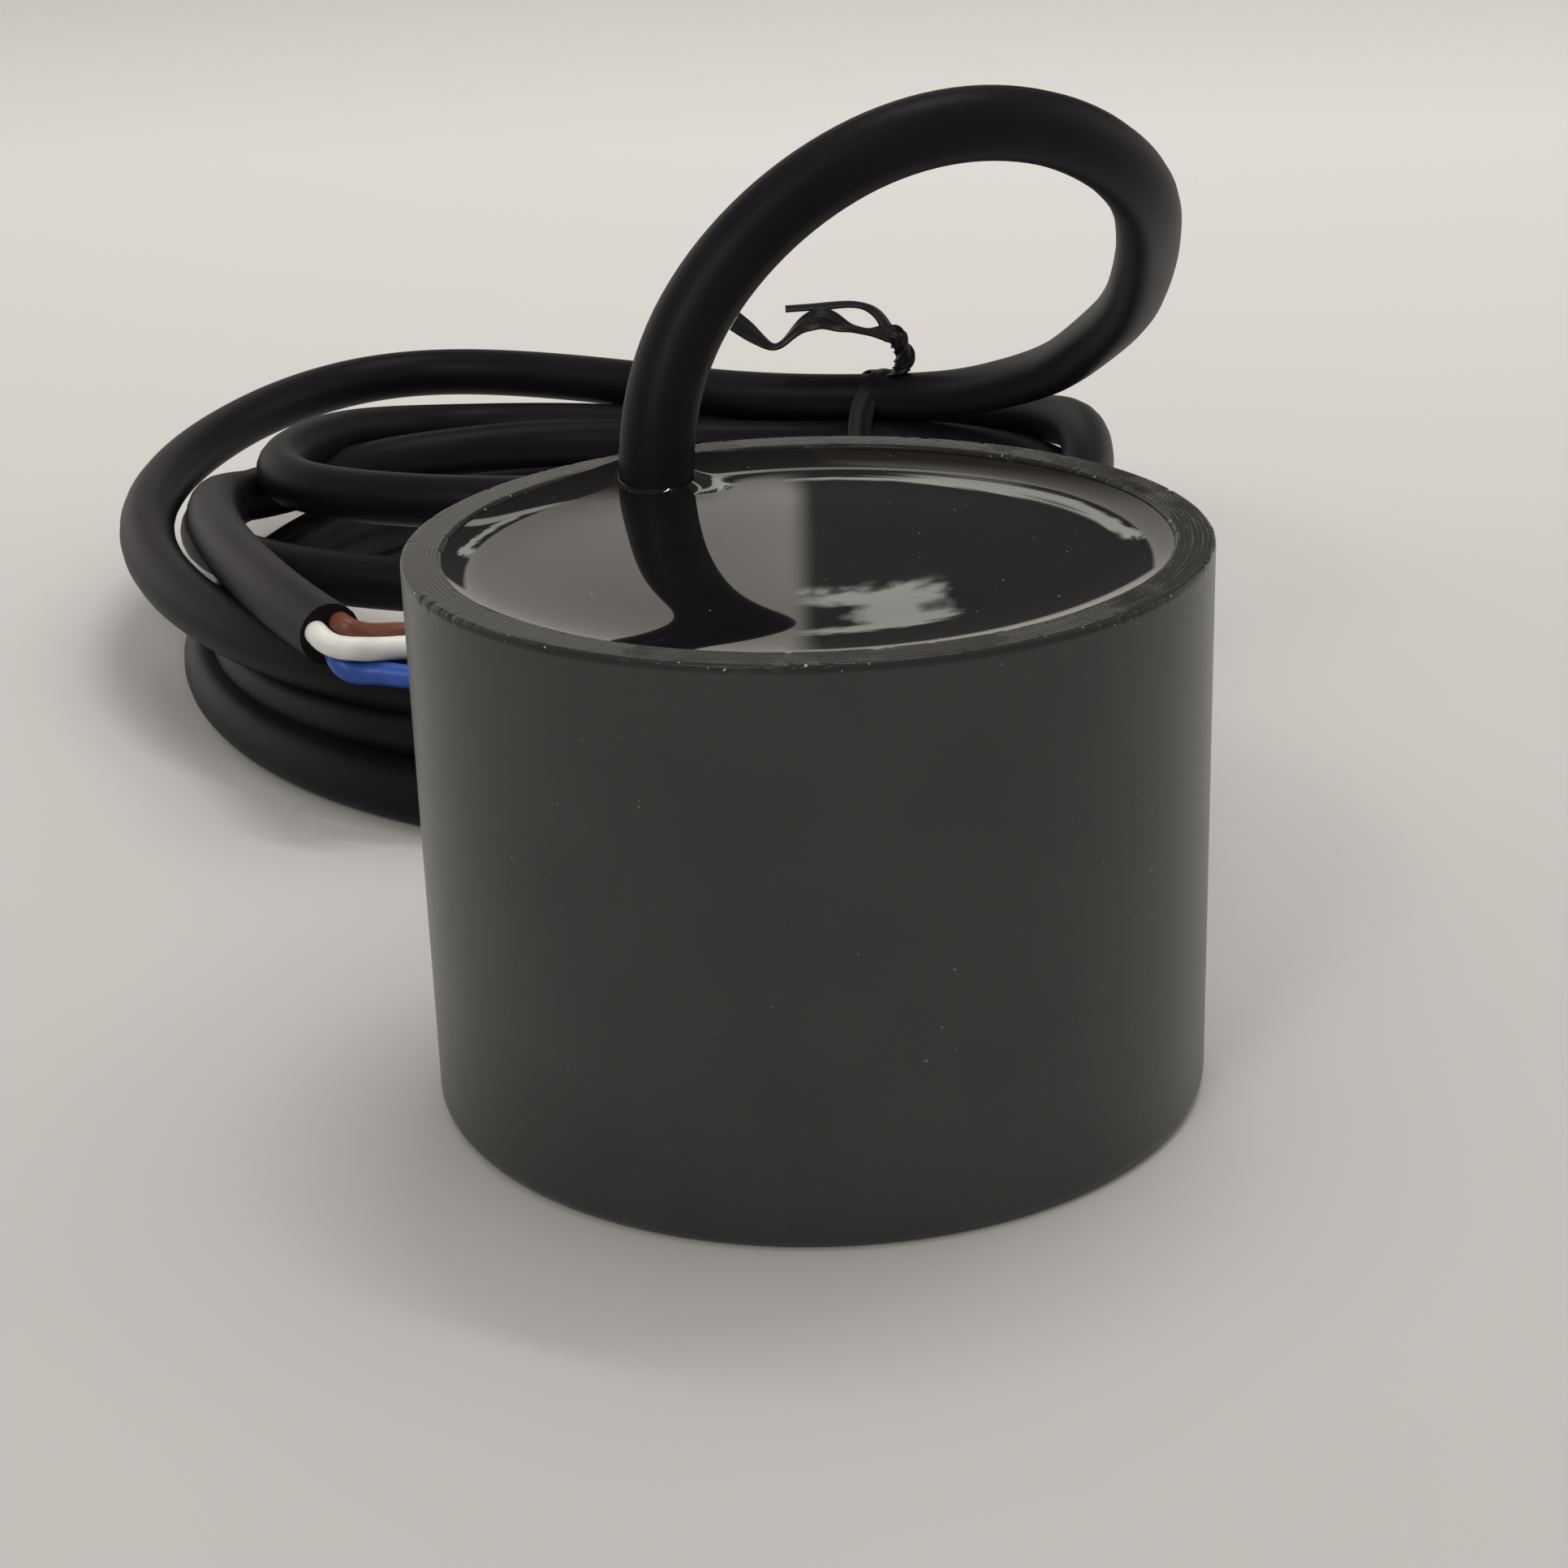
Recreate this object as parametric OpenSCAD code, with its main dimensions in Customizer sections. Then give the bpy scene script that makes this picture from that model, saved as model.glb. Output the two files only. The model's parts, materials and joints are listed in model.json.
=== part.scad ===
// Single beam echosounder: a potted round transducer puck with its own
// electronics, and a three-core cord that leaves through the resin.
// Millimetres. Origin at the centre of the sounding face, +Z up the puck.

/* [Housing] */
// Outer diameter of the housing cup
cup_d = 50; // [48:0.5:70]
// Thickness of the cup's side wall
wall = 2.5; // [2:0.25:3.5]
// Thickness of the cup's floor, which is the sounding window
window_t = 3; // [2:0.25:5]
// Radius on the cup's lower outer edge
edge_r = 1; // [0.5:0.25:1.75]
// Radius in the corner between floor and wall
corner_r = 0.8; // [0.4:0.2:2]
// Chamfer on the rim's two edges
rim_break = 0.25; // [0.1:0.05:0.6]

/* [Resin] */
// Depth of the resin's surface below the rim
rim_above = 1; // [1:0.25:4]
// Resin over the tallest part on the board
cover = 1.9; // [0.9:0.2:6.1]
// Height of the resin's climb at the wall
meniscus_h = 0.7; // [0.3:0.1:0.7]
// Width of that climb
meniscus_w = 2.4; // [1.4:0.2:3]
// Height of the resin's climb round the cord
skirt_h = 0.5; // [0.3:0.1:1]
// Width of that climb
skirt_w = 1.4; // [0.8:0.2:3]

/* [Transducer] */
// Diameter of the piezo disc
piezo_d = 30; // [20:1:32]
// Thickness of the piezo disc
piezo_t = 10; // [6:0.5:14]
// Thickness of the bond between the disc and the window
bond_t = 0.3; // [0.2:0.1:0.6]
// Wall of the cork ring round the disc
isolation_w = 2.5; // [1.5:0.25:3.5]
// Thickness of the pad behind the disc
backing_t = 3; // [2:0.5:5]
// Distance of each piezo lead from the disc's axis
piezo_lead_x = 9; // [7:0.5:9]
// Diameter of an insulated piezo lead
piezo_lead_d = 1.2; // [0.8:0.1:1.6]

/* [Circuit board] */
// Gap between the board's edge and the cup's wall
board_gap = 1.5; // [1:0.25:2]
// Thickness of the board
board_t = 1.6; // [1:0.2:2]
// Height of the spacer under the board
spacer_h = 3; // [2.5:0.5:6]
// Wall of the spacer ring
spacer_w = 2; // [1.5:0.25:2.5]
// Width of each resin notch in the spacer ring
notch_w = 5; // [3:0.5:8]
// Depth of each resin notch
notch_h = 1.5; // [1:0.25:2]
// Radius on the board where the cord's wires are soldered
pad_r = 17; // [16.5:0.25:17.5]
// Angle from one wire's pad to the next, in degrees
pad_step = 10.5; // [9.5:0.5:12]
// Diameter of a plated hole and of the bare wire in it
pad_hole_d = 0.8; // [0.6:0.1:1]
// Diameter of a solder joint on its pad
solder_d = 2.2; // [1.8:0.1:2.6]
// Height of a solder joint
solder_h = 1; // [0.8:0.1:1.2]

/* [Transformer] */
// Width of the ferrite core
core_w = 13; // [12:0.25:14]
// Depth of the ferrite core
core_d = 6; // [5:0.25:6.5]
// Height of the ferrite core
core_h = 11.4; // [10:0.2:14]
// Width of the core's middle leg
core_leg = 2.8; // [2.4:0.2:3.2]
// Width of each outer leg
core_side = 1.5; // [1.2:0.1:1.8]
// Thickness of the core's top and bottom
core_plate = 1.6; // [1.2:0.2:2]
// Height of the core above the board
core_standoff = 0.8; // [0.4:0.2:1.4]
// Wall of the bobbin's sleeve and flanges
bobbin_t = 0.7; // [0.5:0.1:0.9]
// Overall depth of the bobbin
bobbin_d = 12; // [11:0.5:12.5]
// Distance from the winding's outside to the flange's edge
winding_inset = 0.4; // [0.2:0.1:0.8]

/* [Cord] */
// Outer diameter of the cord
cord_d = 5.1; // [4.5:0.1:5.5]
// Diameter of one insulated wire in the cord
wire_d = 1.9; // [1.6:0.1:2]
// Gap between the cord and the cup's wall where it leaves the resin
cord_wall_gap = 0.25; // [0.15:0.05:1]
// Direction of the cord's exit from the puck's axis, in degrees
cord_angle = 120.5; // [118:0.5:123]
// Length of cord held in the resin
cord_grip = 7.5; // [6:0.5:9]
// Outer radius of the coil's round ends
coil_r = 49.5; // [47:0.5:52]
// Width of the coil's band of turns
coil_w = 20; // [16:0.5:24]
// Distance between the centres of the coil's round ends
coil_len = 21.5; // [16:0.5:26]
// Height of the coil in cord diameters
coil_layers = 2.2; // [2:0.1:2.3]
// Radius on the coil's upper edges
coil_edge_r = 3.5; // [2:0.5:5]
// Bare length at each wire's end
strip_len = 5; // [3:0.5:8]
// Diameter of the bare tinned end
strand_d = 1; // [0.8:0.1:1.2]

/* [Twist tie] */
// Width of the tie's strip
tie_w = 2.6; // [2:0.2:3.2]
// Thickness of the tie's strip
tie_t = 0.6; // [0.4:0.1:0.7]

/* [Hidden] */
$fn = 64;

// Overlap of a cutting shape past the face that it cuts
cut = 1;

// Heights of the stack, from the sounding face upwards
bond_z = window_t;
piezo_z = bond_z + bond_t;
backing_z = piezo_z + piezo_t;
spacer_z = backing_z + backing_t;
board_z = spacer_z + spacer_h;
parts_z = board_z + board_t;
core_z = parts_z + core_standoff;
resin_z = core_z + core_h + cover;
cup_h = resin_z + rim_above;

// Radii about the puck's axis
cup_r = cup_d / 2;
bore_r = cup_r - wall;
piezo_r = piezo_d / 2;
stack_r = piezo_r + isolation_w;
board_r = bore_r - board_gap;

// Clearance of the backing pad's holes round the solder on the disc
pad_hole_gap = 0.3;

// The cord's place in the resin
cord_r = cord_d / 2;
exit_r = bore_r - cord_r - cord_wall_gap;
exit_x = exit_r * cos(cord_angle);
exit_y = exit_r * sin(cord_angle);
exit_z = resin_z + skirt_h;
grip_z = exit_z - cord_grip;
// Distance of each wire from the cord's axis: three wires side by side
wire_ring_r = wire_d / sqrt(3) + 0.12;

// The coil lies behind the puck, its long axis turned a little from Y
coil_x = -17;
coil_y = 97;
coil_tilt = 13;
coil_h = coil_layers * cord_d;

// The tie's band: its place along X and the six-sided bundle that it holds
tie_x = 6;
tie_low = tie_t;
tie_high = 14.6;
tie_knee = 4.5;
tie_foot = [129, 144.4];
tie_top = [133.5, 139.5];
// Clearance beside the band in its groove
tie_gap = 0.3;

// Where the cord's route was chosen to start, at the middle sizes above
route_start = [-10, 17, 35.5];
// Points over which the route's start follows the exit
route_fade = 10;
// Free cord from its exit, up over its arch and down to the tie
ARCH = [
    [-10, 17, 35.5], [-9.9, 17.6, 38], [-9.5, 18.7, 40.5], [-8.7, 19.7, 43],
    [-7.5, 20.6, 45.2], [-5.3, 21.8, 48.1], [-2.7, 22.9, 50.8], [0.3, 24, 53],
    [3.6, 25.3, 54.8], [7.2, 26.3, 56.1], [11, 27.7, 56.7], [15.1, 29.8, 56.3],
    [19.2, 32.8, 55], [22.6, 36.5, 52.6], [25, 41.5, 49.8], [26.6, 49, 46.3],
    [27.7, 57.5, 42.8], [28.5, 67, 38.9], [29, 76.5, 35], [29, 86.5, 31],
    [28.3, 96, 27.3], [27, 105.5, 23.4], [24.8, 115, 19.4], [21.2, 123.5, 16.2],
    [16.5, 130, 13.7], [11.5, 134.5, 12.4], [6, 136.5, 12], [1, 137, 11.8]];
// Last stretch of the cord, which climbs onto the coil and ends there
TAIL = [
    [-57.4, 106, 11], [-56.7, 97, 12.4], [-54.9, 87.5, 13.4], [-52.6, 79.4, 14.2],
    [-49.8, 71.4, 14.8], [-46.3, 63, 15.2], [-42.4, 54.5, 15.5], [-38, 46.5, 15.6]];
// Each wire's points past the cord's cut end
BROWN = [
    [-36.65, 46, 16.25], [-35.6, 46.45, 15.65], [-34.2, 47.8, 15.05], [-32.6, 48.8, 14.75],
    [-27, 48.7, 13.9], [-21, 47.3, 13.2], [-14, 46.3, 13.05]];
WHITE = [
    [-38.45, 45, 15.75], [-37.7, 44.5, 15.4], [-36.6, 44.3, 15.15], [-35.3, 44.6, 14.95],
    [-33.9, 45.5, 14.6], [-32.3, 46.3, 14.4], [-27, 46.4, 14.15], [-21, 44.9, 14], [-13.5, 43.9, 13.95]];
BLUE = [
    [-37.5, 45.8, 14.1], [-37.05, 45.1, 13.5], [-36.4, 44.85, 13.05], [-35.5, 44.95, 12.85],
    [-34.1, 44.85, 12.8], [-31.6, 44.3, 12.6], [-27, 43.3, 12.9], [-21, 42, 13.1], [-13, 41.3, 13.2]];
// The tie's two loose ends, from the knot
KNOT = [[6.4, 135.4, 16.4], [8.4, 134.8, 16.6], [10.2, 134.4, 17.4], [10.6, 134.2, 18.9]];
TIE_END_A = [
    [10, 134.2, 18.2], [8.6, 133.7, 19.3], [7.2, 133.4, 19.8], [5.4, 133.3, 20.3], [3.7, 133.2, 21],
    [2.2, 133, 21.5], [1, 132.8, 21.2], [-0.2, 132.5, 20.6], [-1.5, 132.2, 19.5], [-2.8, 132, 18.8],
    [-4.1, 132, 19.4], [-5.6, 132, 20.6], [-7, 132, 21.7]];
TIE_END_B = [
    [10.5, 134.5, 18.4], [9.3, 135.2, 19.7], [8.7, 135.9, 20.6], [7.8, 136, 21.5], [6.6, 136, 22.1],
    [5.1, 136, 22.3], [2.9, 136, 22.2], [0.8, 136, 22.1], [-1.6, 136, 22]];

// Chip parts on the board: size [length, width, height] and centres [x, y]
cap_size = [2, 1.25, 1.25];
CAPS = [[-3.5, 1.5], [-0.5, -3], [-3.5, -3.5], [11, 9], [5, 13.5], [1.5, 14], [-13.8, -1], [-2.5, -8]];
resistor_size = [1.6, 0.8, 0.5];
RESISTORS = [[-3.5, -1], [0, 1.5], [3.5, 2], [7.5, 2], [-14.5, -4.2], [9, 12], [-1, 13], [17.5, -1.5]];
TRANSISTORS = [[15, 3], [14.5, 7.5]];
transformer_xy = [8, -6];

// Unit vector along v
function unit(v) = v / norm(v);

// Direction of a route at its point i, with a set direction at either end
function heading(p, i, first, last) =
    i == 0 && first != undef ? unit(first)
    : i == len(p) - 1 && last != undef ? unit(last)
    : unit(p[min(i + 1, len(p) - 1)] - p[max(i - 1, 0)]);

// Side vector at each point, carried along the route so that it never twists
function sides_along(p, side, first, last, i = 0) =
    i == len(p) ? []
    : let (t = heading(p, i, first, last), s = unit(side - (side * t) * t))
        concat([s], sides_along(p, s, first, last, i + 1));

// A tube or strip of oval section swept along points p as one closed solid
module swept(p, width, thick, count = 10, side = [0, 0, 1], first = undef, last = undef) {
    s = sides_along(p, side, first, last);
    rings = [for (i = [0:len(p) - 1])
        let (t = heading(p, i, first, last), b = cross(t, s[i]))
            for (k = [0:count - 1])
                let (a = 360 * k / count)
                    p[i] + s[i] * cos(a) * width / 2 + b * sin(a) * thick / 2];
    skin = [for (i = [0:len(p) - 2], k = [0:count - 1])
        let (n = (k + 1) % count)
            for (tri = [[k, n + count, n], [k, k + count, n + count]])
                [for (v = tri) v + i * count]];
    first_cap = [for (k = [0:count - 1]) k];
    last_cap = [for (k = [count - 1:-1:0]) k + (len(p) - 1) * count];
    polyhedron(points = rings, faces = concat(skin, [first_cap, last_cap]), convexity = 6);
}

// Half section of a round body with its lower outer corner rounded
module round_foot(r, h, e) {
    translate([0, e]) square([r, h - e]);
    square([r - e, e]);
    translate([r - e, e]) circle(r = e);
}

// Half section of a climbing resin edge: a parabola that rises outwards by h over w
module climb(r, w, h, steps = 4) {
    curve = [for (i = [0:steps]) [r - w + w * i / steps, h * pow(i / steps, 2)]];
    polygon(concat(curve, [[r, -1], [r - w, -1]]));
}

// A part with its centre at [x, y] standing on the board
module on_board(xy) translate([xy[0], xy[1], parts_z]) children();

// A box centred in X and Y and standing on its base
module block(size) translate([-size[0] / 2, -size[1] / 2, 0]) cube(size);

// Gull leads of a chip: a foot on the board and a shoulder into the body
module lead_row(count, pitch, lead_w, reach, body_w, rise) {
    for (i = [0:count - 1], side = [-1, 1]) {
        translate([side * (reach / 2 - 0.35), (i - (count - 1) / 2) * pitch, 0])
            block([0.7, lead_w, 0.2]);
        translate([side * (body_w / 2 + 0.15), (i - (count - 1) / 2) * pitch, 0])
            block([0.5, lead_w, rise]);
    }
}

module housing_cup() {
    color([0.16, 0.16, 0.15])
        rotate_extrude($fn = 128) difference() {
            round_foot(cup_r, cup_h, edge_r);
            translate([0, window_t]) round_foot(bore_r, cup_h, corner_r);
            translate([cup_r, cup_h]) rotate(45) square(rim_break * sqrt(2), center = true);
            translate([bore_r, cup_h]) rotate(45) square(rim_break * sqrt(2), center = true);
        }
}

module window_bond() {
    color("khaki") translate([0, 0, bond_z]) cylinder(d = piezo_d, h = bond_t);
}

module piezo_disc() {
    color("silver") translate([0, 0, piezo_z]) cylinder(d = piezo_d, h = piezo_t);
}

module isolation_ring() {
    color("burlywood") translate([0, 0, bond_z]) difference() {
        cylinder(r = stack_r, h = backing_z - bond_z);
        translate([0, 0, -cut]) cylinder(d = piezo_d, h = backing_z - bond_z + 2 * cut);
    }
}

// Centres of the two joints on the back of the disc
function piezo_lead_at(i) = [i == 0 ? piezo_lead_x : -piezo_lead_x, 0];

module backing_pad() {
    color("tan") translate([0, 0, backing_z]) difference() {
        cylinder(r = stack_r, h = backing_t);
        for (i = [0, 1])
            translate([piezo_lead_at(i)[0], piezo_lead_at(i)[1], -cut])
                cylinder(d = solder_d + 2 * pad_hole_gap, h = backing_t + 2 * cut);
    }
}

// A piezo lead stands on the disc inside its solder and ends bare in the board
module piezo_lead(i) {
    translate([piezo_lead_at(i)[0], piezo_lead_at(i)[1], 0]) {
        translate([0, 0, backing_z]) cylinder(d = piezo_lead_d, h = board_z - backing_z);
        translate([0, 0, board_z]) cylinder(d = pad_hole_d, h = board_t);
    }
}

module piezo_lead_red() {
    color("red") piezo_lead(0);
}

module piezo_lead_black() {
    color("black") piezo_lead(1);
}

// A cone of solder round a wire
module solder_cone(wire) {
    difference() {
        cylinder(d1 = solder_d, d2 = max(wire + 0.3, solder_d / 2), h = solder_h);
        translate([0, 0, -cut]) cylinder(d = wire, h = solder_h + 2 * cut);
    }
}

module piezo_solder() {
    color("gainsboro") for (i = [0, 1])
        translate([piezo_lead_at(i)[0], piezo_lead_at(i)[1], backing_z]) solder_cone(piezo_lead_d);
}

module board_spacer() {
    color("ivory") translate([0, 0, spacer_z]) difference() {
        cylinder(r = stack_r, h = spacer_h);
        translate([0, 0, -cut]) cylinder(r = stack_r - spacer_w, h = spacer_h + 2 * cut);
        for (a = [45:90:315]) rotate(a)
            translate([stack_r - 2 * spacer_w, -notch_w / 2, spacer_h - notch_h])
                cube([3 * spacer_w, notch_w, notch_h + cut]);
    }
}

// Centre of wire i's pad, one of three on an arc under the cord
function pad_at(i) = pad_r * [cos(cord_angle + (1 - i) * pad_step), sin(cord_angle + (1 - i) * pad_step)];

module circuit_board() {
    color("darkgreen") translate([0, 0, board_z]) difference() {
        cylinder(r = board_r, h = board_t);
        for (i = [0:2])
            translate([pad_at(i)[0], pad_at(i)[1], -cut]) cylinder(d = pad_hole_d, h = board_t + 2 * cut);
        for (i = [0, 1])
            translate([piezo_lead_at(i)[0], piezo_lead_at(i)[1], -cut])
                cylinder(d = pad_hole_d, h = board_t + 2 * cut);
    }
}

module microcontroller() {
    size = [7, 7, 0.9];
    color("dimgray") on_board([5, 7.5]) difference() {
        block(size);
        translate([-size[0] / 2, size[1] / 2, -cut]) rotate(45) block([1, 1, size[2] + 2 * cut]);
    }
}

module transceiver_chip() {
    color("dimgray") on_board([-4.5, 7.5]) {
        translate([0, 0, 0.1]) block([3.9, 4.9, 1.5]);
        lead_row(4, 1.27, 0.4, 6, 3.9, 0.8);
    }
}

module voltage_regulator() {
    color("dimgray") on_board([-1.5, -15]) {
        translate([0, 0, 0.1]) block([6.5, 3.5, 1.6]);
        for (i = [-1:1]) translate([i * 2.3, -2.4, 0]) block([0.7, 1.5, 0.3]);
        translate([0, 2.4, 0]) block([3, 1.5, 0.3]);
    }
}

module driver_transistors() {
    color("dimgray") for (xy = TRANSISTORS) on_board(xy) {
        translate([0, 0, 0.1]) block([2.9, 1.3, 1]);
        for (x = [-0.95, 0.95]) translate([x, -0.85, 0]) block([0.4, 0.7, 0.2]);
        translate([0, 0.85, 0]) block([0.4, 0.7, 0.2]);
    }
}

// Half widths of the core's windows
window_in = core_leg / 2;
window_out = core_w / 2 - core_side;
window_h = core_h - 2 * core_plate;
flange_w = 2 * window_out - 0.4;

module transformer_core() {
    color("darkslategray") translate([transformer_xy[0], transformer_xy[1], core_z]) difference() {
        block([core_w, core_d, core_h]);
        for (side = [-1, 1])
            translate([side * (window_in + window_out) / 2, 0, core_plate])
                block([window_out - window_in, core_d + 2 * cut, window_h]);
    }
}

module transformer_bobbin() {
    base_z = core_z + core_plate;
    rail_d = (bobbin_d - core_d) / 2 - 0.2;
    color("whitesmoke") translate([transformer_xy[0], transformer_xy[1], 0]) {
        translate([0, 0, base_z]) difference() {
            union() {
                block([core_leg + 2 * bobbin_t, core_d + 2 * bobbin_t, window_h]);
                block([flange_w, bobbin_d, bobbin_t]);
                translate([0, 0, window_h - bobbin_t]) block([flange_w, bobbin_d, bobbin_t]);
            }
            translate([0, 0, -cut]) block([core_leg, core_d, window_h + 2 * cut]);
        }
        for (side = [-1, 1])
            translate([0, side * (bobbin_d - rail_d) / 2, parts_z])
                block([core_w - 1, rail_d, base_z - parts_z]);
    }
}

module transformer_winding() {
    outer = [flange_w - 2 * winding_inset, bobbin_d - 2 * winding_inset];
    corner = 1.5;
    color("peru") translate([transformer_xy[0], transformer_xy[1], core_z + core_plate + bobbin_t])
        linear_extrude(window_h - 2 * bobbin_t) difference() {
            union() {
                square([outer[0] - 2 * corner, outer[1]], center = true);
                square([outer[0], outer[1] - 2 * corner], center = true);
                for (x = [-1, 1], y = [-1, 1])
                    translate([x * (outer[0] / 2 - corner), y * (outer[1] / 2 - corner)]) circle(r = corner);
            }
            square([core_leg + 2 * bobbin_t, core_d + 2 * bobbin_t], center = true);
        }
}

module power_capacitor() {
    color("lightsteelblue") on_board([-9.5, -9.5]) {
        block([6.6, 6.6, 0.8]);
        translate([0, 0, 0.8]) cylinder(d = 6.3, h = 6.9);
    }
}

module ceramic_capacitors() {
    color("darkkhaki") for (xy = CAPS) on_board(xy) block(cap_size);
}

module resistors() {
    color("black") for (xy = RESISTORS) on_board(xy) block(resistor_size);
}

module crystal() {
    color("lightgray") on_board([11, 4]) {
        block([3.2, 2.5, 0.5]);
        translate([0, 0, 0.5]) block([2.9, 2.2, 0.3]);
    }
}

module power_inductor() {
    color("slategray") on_board([-8.5, 0]) {
        block([5, 5, 0.6]);
        translate([0, 0, 0.6]) cylinder(d = 4.6, h = 2.4);
    }
}

module protection_diode() {
    color("dimgray") on_board([-15, 4.5]) {
        translate([0, 0, 0.1]) block([2.6, 4.3, 2.1]);
        for (side = [-1, 1]) translate([0, side * 2.2, 0]) block([1.5, 0.9, 1]);
    }
}

// Centre of wire i in the cord's lower end
function wire_at(i) =
    [exit_x, exit_y] + wire_ring_r * [cos(cord_angle + 180 + (i - 1) * 120), sin(cord_angle + 180 + (i - 1) * 120)];

// One wire from the cord's potted end down to its pad, bare through the board
module inner_lead(i) {
    low = [pad_at(i)[0], pad_at(i)[1], parts_z + solder_h];
    high = [wire_at(i)[0], wire_at(i)[1], grip_z];
    run = high - low;
    lean = acos(run[2] / norm(run));
    intersection() {
        translate(low) rotate([0, lean, atan2(run[1], run[0])]) rotate(90)
            translate([0, 0, -norm(run)]) cylinder(d = wire_d, h = 3 * norm(run));
        translate([low[0], low[1], low[2]]) block([cup_d, cup_d, grip_z - low[2]]);
    }
    translate([low[0], low[1], board_z]) cylinder(d = pad_hole_d, h = low[2] - board_z);
}

module inner_lead_brown() {
    color("saddlebrown") inner_lead(0);
}

module inner_lead_white() {
    color("white") inner_lead(1);
}

module inner_lead_blue() {
    color("royalblue") inner_lead(2);
}

module lead_solder() {
    color("gainsboro") for (i = [0:2])
        translate([pad_at(i)[0], pad_at(i)[1], parts_z]) solder_cone(pad_hole_d);
}

module cord_potted_end() {
    color([0.1, 0.1, 0.1]) translate([exit_x, exit_y, grip_z]) cylinder(d = cord_d, h = cord_grip);
}

// Everything that the resin surrounds
module potted_parts() {
    window_bond();
    piezo_disc();
    isolation_ring();
    backing_pad();
    piezo_lead_red();
    piezo_lead_black();
    piezo_solder();
    board_spacer();
    circuit_board();
    microcontroller();
    transceiver_chip();
    voltage_regulator();
    driver_transistors();
    transformer_core();
    transformer_bobbin();
    transformer_winding();
    power_capacitor();
    ceramic_capacitors();
    resistors();
    crystal();
    power_inductor();
    protection_diode();
    inner_lead_brown();
    inner_lead_white();
    inner_lead_blue();
    lead_solder();
    cord_potted_end();
}

// The resin fills the cup to its level, climbs a little at the wall and round
// the cord, and leaves room for nothing but the parts in it
module potting_resin() {
    color([0.07, 0.07, 0.07]) difference() {
        union() {
            rotate_extrude($fn = 128) {
                translate([0, window_t]) round_foot(bore_r, resin_z - window_t, corner_r);
                translate([0, resin_z]) climb(bore_r, meniscus_w, meniscus_h);
            }
            intersection() {
                translate([exit_x, exit_y, resin_z]) rotate_extrude()
                    polygon([[0, -1], [cord_r + skirt_w, -1], [cord_r + skirt_w, 0],
                        [cord_r + skirt_w / 2, skirt_h / 4], [cord_r, skirt_h], [0, skirt_h]]);
                translate([0, 0, resin_z - 2 * cut]) cylinder(r = bore_r, h = skirt_h + 4 * cut, $fn = 128);
            }
        }
        potted_parts();
    }
}

// The arch's points: its start follows the exit, and the shift fades out
arch_shift = [exit_x, exit_y, exit_z] - route_start;
arch_route = [for (i = [0:len(ARCH) - 1]) ARCH[i] + arch_shift * max(0, 1 - i / route_fade)];

module cord_arch() {
    color([0.1, 0.1, 0.1]) swept(arch_route, cord_d, cord_d, side = [1, 0, 0], first = [0, 0, 1]);
}

// Half section of the coil's band of turns, with round upper edges
module coil_section() {
    translate([coil_r - coil_w, 0]) {
        square([coil_w, coil_h - coil_edge_r]);
        translate([coil_edge_r, 0]) square([coil_w - 2 * coil_edge_r, coil_h]);
        for (x = [coil_edge_r, coil_w - coil_edge_r])
            translate([x, coil_h - coil_edge_r]) circle(r = coil_edge_r);
    }
}

// The bundle's six-sided outline at the tie, grown by g, as Y and Z points
function bundle(g) = [
    [tie_foot[0] - g, tie_low - g], [tie_foot[1] + g, tie_low - g],
    [tie_foot[1] + g, tie_knee], [tie_top[1] + g, tie_high + g],
    [tie_top[0] - g, tie_high + g], [tie_foot[0] - g, tie_knee]];

// A slice across X of an outline given as Y and Z points
module slice(outline, width) {
    translate([tie_x - width / 2, 0, 0])
        multmatrix([[0, 0, 1, 0], [1, 0, 0, 0], [0, 1, 0, 0], [0, 0, 0, 1]])
            linear_extrude(width) polygon(outline);
}

module cord_coil() {
    slot_w = tie_w + 2 * tie_gap;
    color([0.1, 0.1, 0.1]) difference() {
        translate([coil_x, coil_y, 0]) rotate(coil_tilt) {
            for (end = [0, 1]) rotate(180 * end)
                translate([0, coil_len / 2, 0]) rotate_extrude(angle = 180) coil_section();
            for (end = [0, 1]) rotate(180 * end)
                translate([0, coil_len / 2, 0]) rotate([90, 0, 0]) linear_extrude(coil_len) coil_section();
        }
        difference() {
            translate([tie_x - slot_w / 2, coil_y, -cut]) cube([slot_w, 2 * coil_r, coil_h + 2 * cut]);
            slice(bundle(0), 2 * slot_w);
        }
    }
}

module cord_tail() {
    color([0.1, 0.1, 0.1]) swept(TAIL, cord_d, cord_d);
}

// Where the cord is cut, and the two directions across its end
tail_end = TAIL[len(TAIL) - 1];
tail_dir = unit(tail_end - TAIL[len(TAIL) - 2]);
tail_side = unit(cross(tail_dir, [0, 0, 1]));
tail_up = cross(tail_side, tail_dir);

// A wire's route: out of the cut end at an angle round it, then its own points
function wire_route(angle, points) =
    concat([tail_end + wire_ring_r * (cos(angle) * tail_side + sin(angle) * tail_up)], points);

module wire(angle, points) {
    swept(wire_route(angle, points), wire_d, wire_d, 8, first = tail_dir);
}

module wire_brown() {
    color("saddlebrown") wire(140, BROWN);
}

module wire_white() {
    color("white") wire(20, WHITE);
}

module wire_blue() {
    color("royalblue") wire(260, BLUE);
}

// The tinned strands that stand out of the three wires
module wire_strands() {
    color("silver") for (p = [BROWN, WHITE, BLUE]) {
        last = p[len(p) - 1];
        along = unit(last - p[len(p) - 2]);
        swept([last, last + along * strip_len], strand_d, strand_d, 8);
    }
}

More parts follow.
